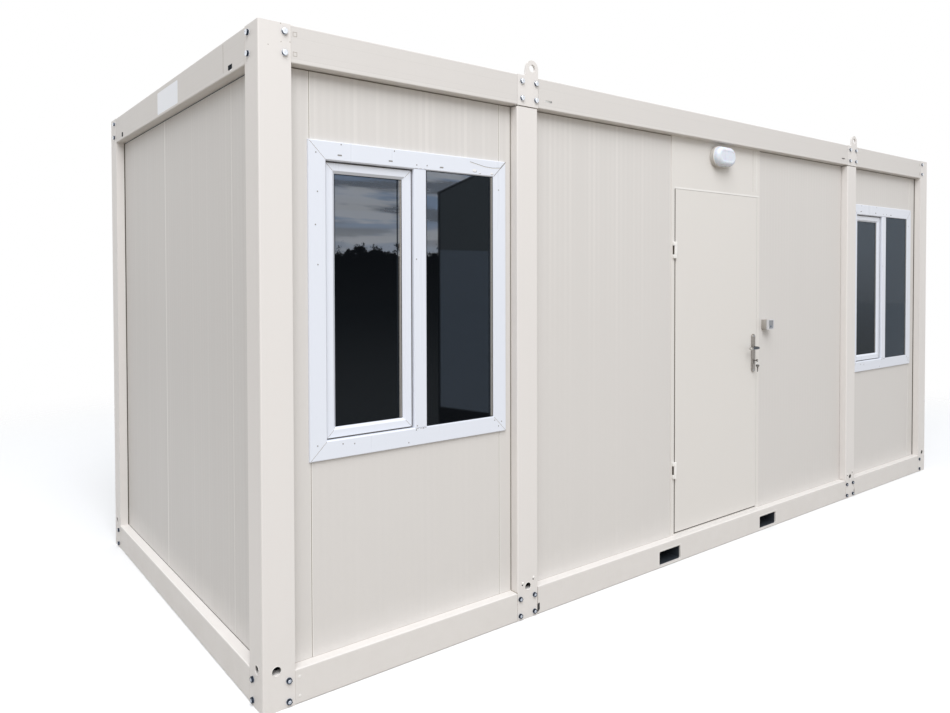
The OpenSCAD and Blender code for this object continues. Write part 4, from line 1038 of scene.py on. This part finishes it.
def makeLamp(s):
    low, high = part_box("lamp_base")
    centre = ((low.x + high.x) / 2, (low.z + high.z) / 2)
    wide, tall, wall, deep = high.x - low.x, high.z - low.z, high.y, high.y - low.y
    base, bezel, cover = newShapes(3)
    addOval(base, [(.003, 0), (.0005, .0015), (0, .004), (0, .0075), (.0028, .0085), (.0028, .0105), (0, .0115),
                   (0, .0165), (.0022, .0172), (.0022, .0190), (.0008, .0198), (.0008, deep - .002),
                   (.006, deep - .0005)],
            centre, wide, tall, wall, 20)
    addOval(bezel, [(.0032, deep - .008), (.0008, deep - .0065), (.0008, deep - .002), (.0022, deep + .0008),
                    (.0052, deep + .0022), (.0066, deep + .0012), (.0066, deep - .004)], centre, wide, tall, wall, 20)
    low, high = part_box("lamp_diffuser")
    wide, tall, front = high.x - low.x, high.z - low.z, wall - low.y
    r = s["coverRound"]
    profile = [(.0006, deep - .004), (.0006, front - r)]
    profile += [(.0006 + r * (1 - cos(a)), front - r + r * sin(a)) for a in arc(10, 88, 9)]
    profile += [(.029, front), (.0302, front - .0008), (.032, front - .0009), (.045, front - .0007)]
    addOval(cover, profile, centre, wide, tall, wall, 20)
    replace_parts(finishShape("lampBase", base, lampPlastic), "lamp_base")
    finishShape("lampBezel", bezel, bezelPlastic)
    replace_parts(finishShape("lampCover", cover, diffuserPlastic, sharpest=50), "lamp_diffuser")


makeLamp(lampSizes)

# light switch: back box, cover with a rim, tilted rocker and its mark
switchSizes = {"cover": .015, "groove": .002, "rim": .0055, "recess": .004, "round": .003, "tilt": .0022}


def makeSwitch(s):
    low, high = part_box("switch_box")
    box, back, face, dots = newShapes(4)
    y1 = low.y + s["cover"]
    g = Vector((s["groove"], 0, s["groove"]))
    addBlock(back, (low.x, y1 + s["groove"], low.z), high, s["round"])
    addBlock(back, Vector((low.x, low.y + .008, low.z)) + g, high - g)
    rim, rec = s["rim"], s["recess"]
    addFrame(box, Vector((low.x, 0, low.z)), Vector((high.x, 0, high.z)), rim, low.y + .0002, y1)
    inner0, inner1 = Vector((low.x + rim, 0, low.z + rim)), Vector((high.x - rim, 0, high.z - rim))
    addBlock(face, (inner0.x - .001, low.y + rec + .002, inner0.z - .001), (inner1.x + .001, y1, inner1.z + .001))
    x0, x1, z0, z1 = inner0.x + .0015, inner1.x - .0015, inner0.z + .0015, inner1.z - .0015
    mid = (z0 + z1) / 2
    yBack, yOut, yIn = low.y + rec + .003, low.y + .0006, low.y + .0006 + s["tilt"]
    outline = [(yBack, z0), (yIn, z0 + .001), (yIn + .0004, mid - .002), (yOut + .0012, mid + .002), (yOut, z1 - .001),
               (yBack, z1)]
    skin(face, [[Vector((x, y, z)) for y, z in outline] for x in (x0, x1)])
    addTurned(dots, [(.0062, 0), (.0062, .0012), (.005, .0016)], ((x0 + x1) / 2, yIn + .0006, z0 + .013),
              (0, -1, 0), 20)
    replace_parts(finishShape("switchBoxShell", box, switchGrey), "switch_box")
    finishShape("switchBackBox", back, switchBack)
    finishShape("switchRocker", face, switchFace)
    finishShape("switchMark", dots, slateSeal)


makeSwitch(switchSizes)
print("lamp and switch made")

# a plain plate on the left end's top rail, without any lettering
plateSizes = {"from": 1.021, "to": 1.373, "low": .062, "high": .175, "corner": .006, "underRail": .05}


def makePlate(s):
    foot, c, shape = railFoot - s["underRail"], s["corner"], bmesh.new()
    y0, y1, z0, z1 = -side + s["from"], -side + s["to"], foot + s["low"], foot + s["high"]
    corners = [((y1 - c, z1 - c), 0), ((y0 + c, z1 - c), 90), ((y0 + c, z0 + c), 180), ((y1 - c, z0 + c), 270)]
    outline = [(y + c * cos(a), z + c * sin(a)) for (y, z), turn in corners for a in arc(turn, turn + 90, 5)]
    skin(shape, [[Vector((x, y, z)) for y, z in outline] for x in (-end + .0005, -end - .0002)])
    finishShape("plainPlate", shape, plainPlate)


makePlate(plateSizes)

# thin seams where rails meet posts, small marks on the rails, rivets by the middle posts' feet with a painted shadow
# below each, and bright dimples and rivets that are partly painted highlights
railMarks = {
    "seam": .0010, "lift": .0003,
    "square": .018, "squareLine": .0022, "squares": ((.152, 2.665), (.152, 2.587)),   # from the corner, and height
    "dimples": ((.154, .110), (.154, .032)), "rivets": ((.034, .182), (.106, .196)),
    "endSeamAt": .380, "slot": (.0022, .0115), "slotLow": .021, "slotHigh": .056,
    "specks": ((.0926, 2.6967), (.0412, 2.606), (.0941, 2.626), (.131, 2.631)),
    "pocketEdge": .0034,
}


def makeRailMarks(s):
    seams, pale, marks, dark, bumps = newShapes(5)
    w, lift, half = s["seam"], s["lift"], s["square"] / 2
    for sy in (-1, 1):
        out = Vector((0, sy, 0))
        for sx in (-1, 1):
            x = sx * (end - cornerW)
            addStrip(pale, (x, sy * side, .020), (x, sy * side, railTop - .006), out, w, lift)
            addStrip(pale, (x, sy * side, railFoot + .004), (x, sy * side, top - .004), out, w, lift)
            for u, z in s["squares"]:
                x = sx * (end - u)
                addFrame(marks, Vector((x - half, 0, z - half)), Vector((x + half, 0, z + half)), s["squareLine"],
                         sy * side - .0003, sy * side + .0003)
            for u, z in s["dimples"]:
                addTurned(bumps, [(.0065, -.0005), (.0062, .0006), (.003, .0014)],
                          (sx * (end - u), sy * side, z), out, 16)
        for low, high in (postLeft, postRight):
            addStrip(seams, (low.x - .0006, sy * side, .004), (low.x - .0006, sy * side, railTop - .004), out, w, lift)
            addStrip(pale, (high.x + .0006, sy * side, .004), (high.x + .0006, sy * side, railTop - .004), out, w, lift)
            addStrip(seams, (low.x - .003, sy * side, railTop), (low.x - .003, sy * abs(wallFace), railTop),
                     (0, 0, 1), .005, .0006)
            for u, z in s["rivets"]:
                addTurned(bumps, [(.0070, -.0005), (.0068, .0016), (.0040, .0034)],
                          (low.x + u, sy * side, z), out, 16)
                # a dark disc below and left of each rivet: painted shadow
                addTurned(dark, [(.0044, -.0005), (.0044, .0003)], (low.x + u - .003, sy * side, z - .007), out, 14)
        for low, high in looseParts("fork_pockets"):
            wide = Vector((s["pocketEdge"], 0, s["pocketEdge"]))
            addFrame(bumps, low - wide, high + wide, s["pocketEdge"], sy * side - .0004, sy * side + .0004)
    for sx in (-1, 1):
        out = Vector((sx, 0, 0))
        for sy in (-1, 1):
            y = sy * (side - cornerW)
            addStrip(pale, (sx * end, y, .020), (sx * end, y, railTop - .006), out, w, lift)
            addStrip(pale, (sx * end, y, railFoot + .004), (sx * end, y, top - .004), out, w, lift)
        y = -side + s["endSeamAt"]
        addStrip(seams, (sx * end, y, railFoot + .02), (sx * end, y, top - .012), out, w * 2.4, lift)
    x0, x1 = [postLeft[1].x + u for u in s["slot"]]
    addBlock(dark, (x0, -side - .0012, s["slotLow"]), (x1, -side + .001, s["slotHigh"]), .0003, 1)
    for u, z in s["specks"]:
        addTurned(marks, [(.0022, -.0005), (.0022, .0003)], (-end + u, -side, z), (0, -1, 0), 12)
    finishShape("frameSeams", seams, seamShade)
    finishShape("railSeams", pale, seamPale)
    finishShape("railSquares", marks, seamMiddle)
    finishShape("railBumps", bumps, hingeAndHighlightPaint)
    finishShape("footShade", dark, darkRubber)


makeRailMarks(railMarks)

# inside the posts: plates across the feet and dark shields as painted shade, both seen through the tie-down holes,
# whose rims are rolled lips in the lighter paint, partly a painted highlight
footPlates = {"at": .1385, "thick": .007, "inset": .0045, "back": .042, "shieldHigh": .075, "sheet": .0012,
              "plugs": ((.046, .0195), (.030, .026)), "plugAt": .298, "plugRise": .0275, "plugBack": (-.0006, .0034),
              "holeRadius": .019, "holeAt": .057, "holeUp": .160, "lip": .0010}


def insidePosts(s):
    plates, shields, lipHighlights = newShapes(3)
    i, r = s["inset"], s["holeRadius"] + s["lip"] * .6
    z0, z1 = s["at"] + s["thick"], s["at"] + s["thick"] + s["shieldHigh"]
    boxes = [(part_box("corner_post_" + name), True) for name in ("front_left", "front_right", "back_left", "back_right")]
    boxes += [(box, False) for box in looseParts("mid_posts_front") + looseParts("mid_posts_back")]
    for (low, high), corner in boxes:
        sx, sy = (1 if low.x > 0 else -1), (1 if low.y > 0 else -1)
        addBlock(plates, (low.x + i, low.y + i, s["at"]), (high.x - i, high.y - i, z0), .0008, 1)
        y = sy * (side - s["back"])
        addBlock(shields, (low.x + i * 2, y - s["sheet"], z0), (high.x - i * 2, y + s["sheet"], z1), .0003, 1)
        middle = sx * (end - s["holeAt"]) if corner else (low.x + high.x) / 2
        rings = [(Vector((middle, sy * side, s["holeUp"])), Vector((1, 0, 0)))]
        if corner:
            x = sx * (end - s["back"])
            addBlock(shields, (x - s["sheet"], low.y + i * 2, z0), (x + s["sheet"], high.y - i * 2, z1), .0003, 1)
            rings.append((Vector((sx * end, sy * (side - s["holeAt"]), s["holeUp"])), Vector((0, 1, 0))))
        for centre, across in rings:
            ring = [centre + (across * cos(a) + Vector((0, 0, 1)) * sin(a)) * r for a in arc(0, 350, 35)]
            addTube(lipHighlights, ring, [s["lip"]] * len(ring), 8, closed=True)
    for sx in (-1, 1):
        for sy, (w, h) in zip((-1, 1), s["plugs"]):         # rubber plugs in the end rails' openings
            x0, x1 = sorted(sx * (end - back) for back in s["plugBack"])
            y, z = sy * (side - s["plugAt"]), railFoot + s["plugRise"]
            addBlock(shields, (x0, y - w / 2, z - h / 2), (x1, y + w / 2, z + h / 2), .0005, 1)
    finishShape("postFootPlates", plates, framePaint)
    finishShape("postShields", shields, darkRubber)
    finishShape("holeLipHighlights", lipHighlights, hingeAndHighlightPaint)


insidePosts(footPlates)

# roof screws with washers on the sheet's crowns
roofScrews = {"pitch": .25, "edge": .16, "rows": (.035, .36, .64, .965)}


def placeRoofScrews(s):
    low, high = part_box("roof_sheet")
    count = int((high.x - low.x - s["edge"]) / s["pitch"])
    places = [(Vector(((i + .5 - count / 2) * s["pitch"], low.y + (high.y - low.y) * v, high.z)), Vector((0, 0, 1)))
              for i in range(count) for v in s["rows"]]
    grow("roofScrews", places, boltPattern, zinc, "cylinder_metal", Across=.0092, Height=.005, Washer=.016)


placeRoofScrews(roofScrews)
print("small parts made")

# floor, light and camera
studio = {
    "floorSize": 90.0,
    "floorPale": tint(.93, .93, .93),      # what is seen
    "floorFades": (4.5, 8.5),
    "floorWarm": tint(.30, .27, .225),      # what it throws back on the object
    "skyLight": 0.72,
    "skyColor": tint(.98, 1.0, 1.03),
    "lampAt": (-6.5, -9.9, 13.6),
    "lampTo": (-3.0, -1.2, 1.35),
    "lampAcross": 13.0,
    "lampPower": 2400.0,
    "lampColor": (.985, 1.0, 1.025),
    "cameraPlace": (-4.1413, -4.0052, 1.7098),
    "cameraTurn": (88.8904, .128, -37.7734),
    "renderSize": (950, 713),
    "focal": 750.86,                       # for a render of that width
    "rise": 291.07,
    "sensor": 36.0,
}


def seenRay(tree):  # 1 for camera, mirror and glass rays
    path = tree.nodes.new("ShaderNodeLightPath").outputs
    both = plus(path["Is Camera Ray"], path["Is Glossy Ray"])
    return calc("ADD", both, path["Is Transmission Ray"], clamp=True)


def makeFloor(s):
    mesh = bpy.data.meshes.new("groundSheet")
    half = s["floorSize"] / 2
    mesh.from_pydata([(-half, -half, 0), (half, -half, 0), (half, half, 0), (-half, half, 0)], [], [(0, 1, 2, 3)])
    floor = bpy.data.objects.new("groundSheet", mesh)
    floor.location.z = -.0005
    bpy.context.scene.collection.objects.link(floor)
    material, tree = newMaterial("paleFloor", Roughness=.9, Specular_IOR_Level=.1)
    shader = tree.nodes["Principled BSDF"]
    feed(shader.inputs, {"Base Color": mixColor(seenRay(tree), s["floorWarm"], s["floorPale"])})
    whole = place(tree)[0]                      # far off the floor gives way to the plain white behind it
    away = addNode(tree, "ShaderNodeVectorMath", {0: whole}, operation="LENGTH")["Value"]
    path = tree.nodes.new("ShaderNodeLightPath").outputs
    gone = times(path["Is Camera Ray"], ease(away, *s["floorFades"]))
    clear = tree.nodes.new("ShaderNodeBsdfTransparent").outputs[0]
    both = addNode(tree, "ShaderNodeMixShader", {0: gone, 1: shader.outputs[0], 2: clear})[0]
    feed(tree.nodes["Material Output"].inputs, {"Surface": both})
    mesh.materials.append(material)


def makeLight(s):
    world = bpy.data.worlds.new("plainSky")
    world.use_nodes = True
    tree = world.node_tree
    tree.nodes.clear()
    sky = addNode(tree, "ShaderNodeBackground", {"Color": s["skyColor"], "Strength": s["skyLight"]})[0]
    white = addNode(tree, "ShaderNodeBackground", {"Color": tint(1, 1, 1), "Strength": 1.0})[0]
    both = addNode(tree, "ShaderNodeMixShader", {0: seenRay(tree), 1: sky, 2: white})[0]
    addNode(tree, "ShaderNodeOutputWorld", {"Surface": both})
    bpy.context.scene.world = world
    lamp = bpy.data.lights.new("softLamp", "AREA")
    lamp.shape = "DISK"
    lamp.size = s["lampAcross"]
    lamp.energy = s["lampPower"]
    lamp.color = s["lampColor"]
    held = bpy.data.objects.new("softLamp", lamp)
    held.location = s["lampAt"]
    held.rotation_euler = (Vector(s["lampAt"]) - Vector(s["lampTo"])).to_track_quat("Z", "Y").to_euler()
    held.visible_camera = False
    bpy.context.scene.collection.objects.link(held)


def makeCamera(s):
    lens = bpy.data.cameras.new("mainCamera")
    width, height = s["renderSize"]
    lens.sensor_width = s["sensor"]
    lens.lens = s["focal"] * s["sensor"] / width
    lens.shift_y = (s["rise"] - height / 2) / width
    camera = bpy.data.objects.new("mainCamera", lens)
    camera.location = s["cameraPlace"]
    camera.rotation_euler = [radians(a) for a in s["cameraTurn"]]
    bpy.context.scene.collection.objects.link(camera)
    bpy.context.scene.camera = camera


makeFloor(studio)
makeLight(studio)
makeCamera(studio)
bpy.context.scene.view_settings.view_transform = "Standard"
print("light and camera set")
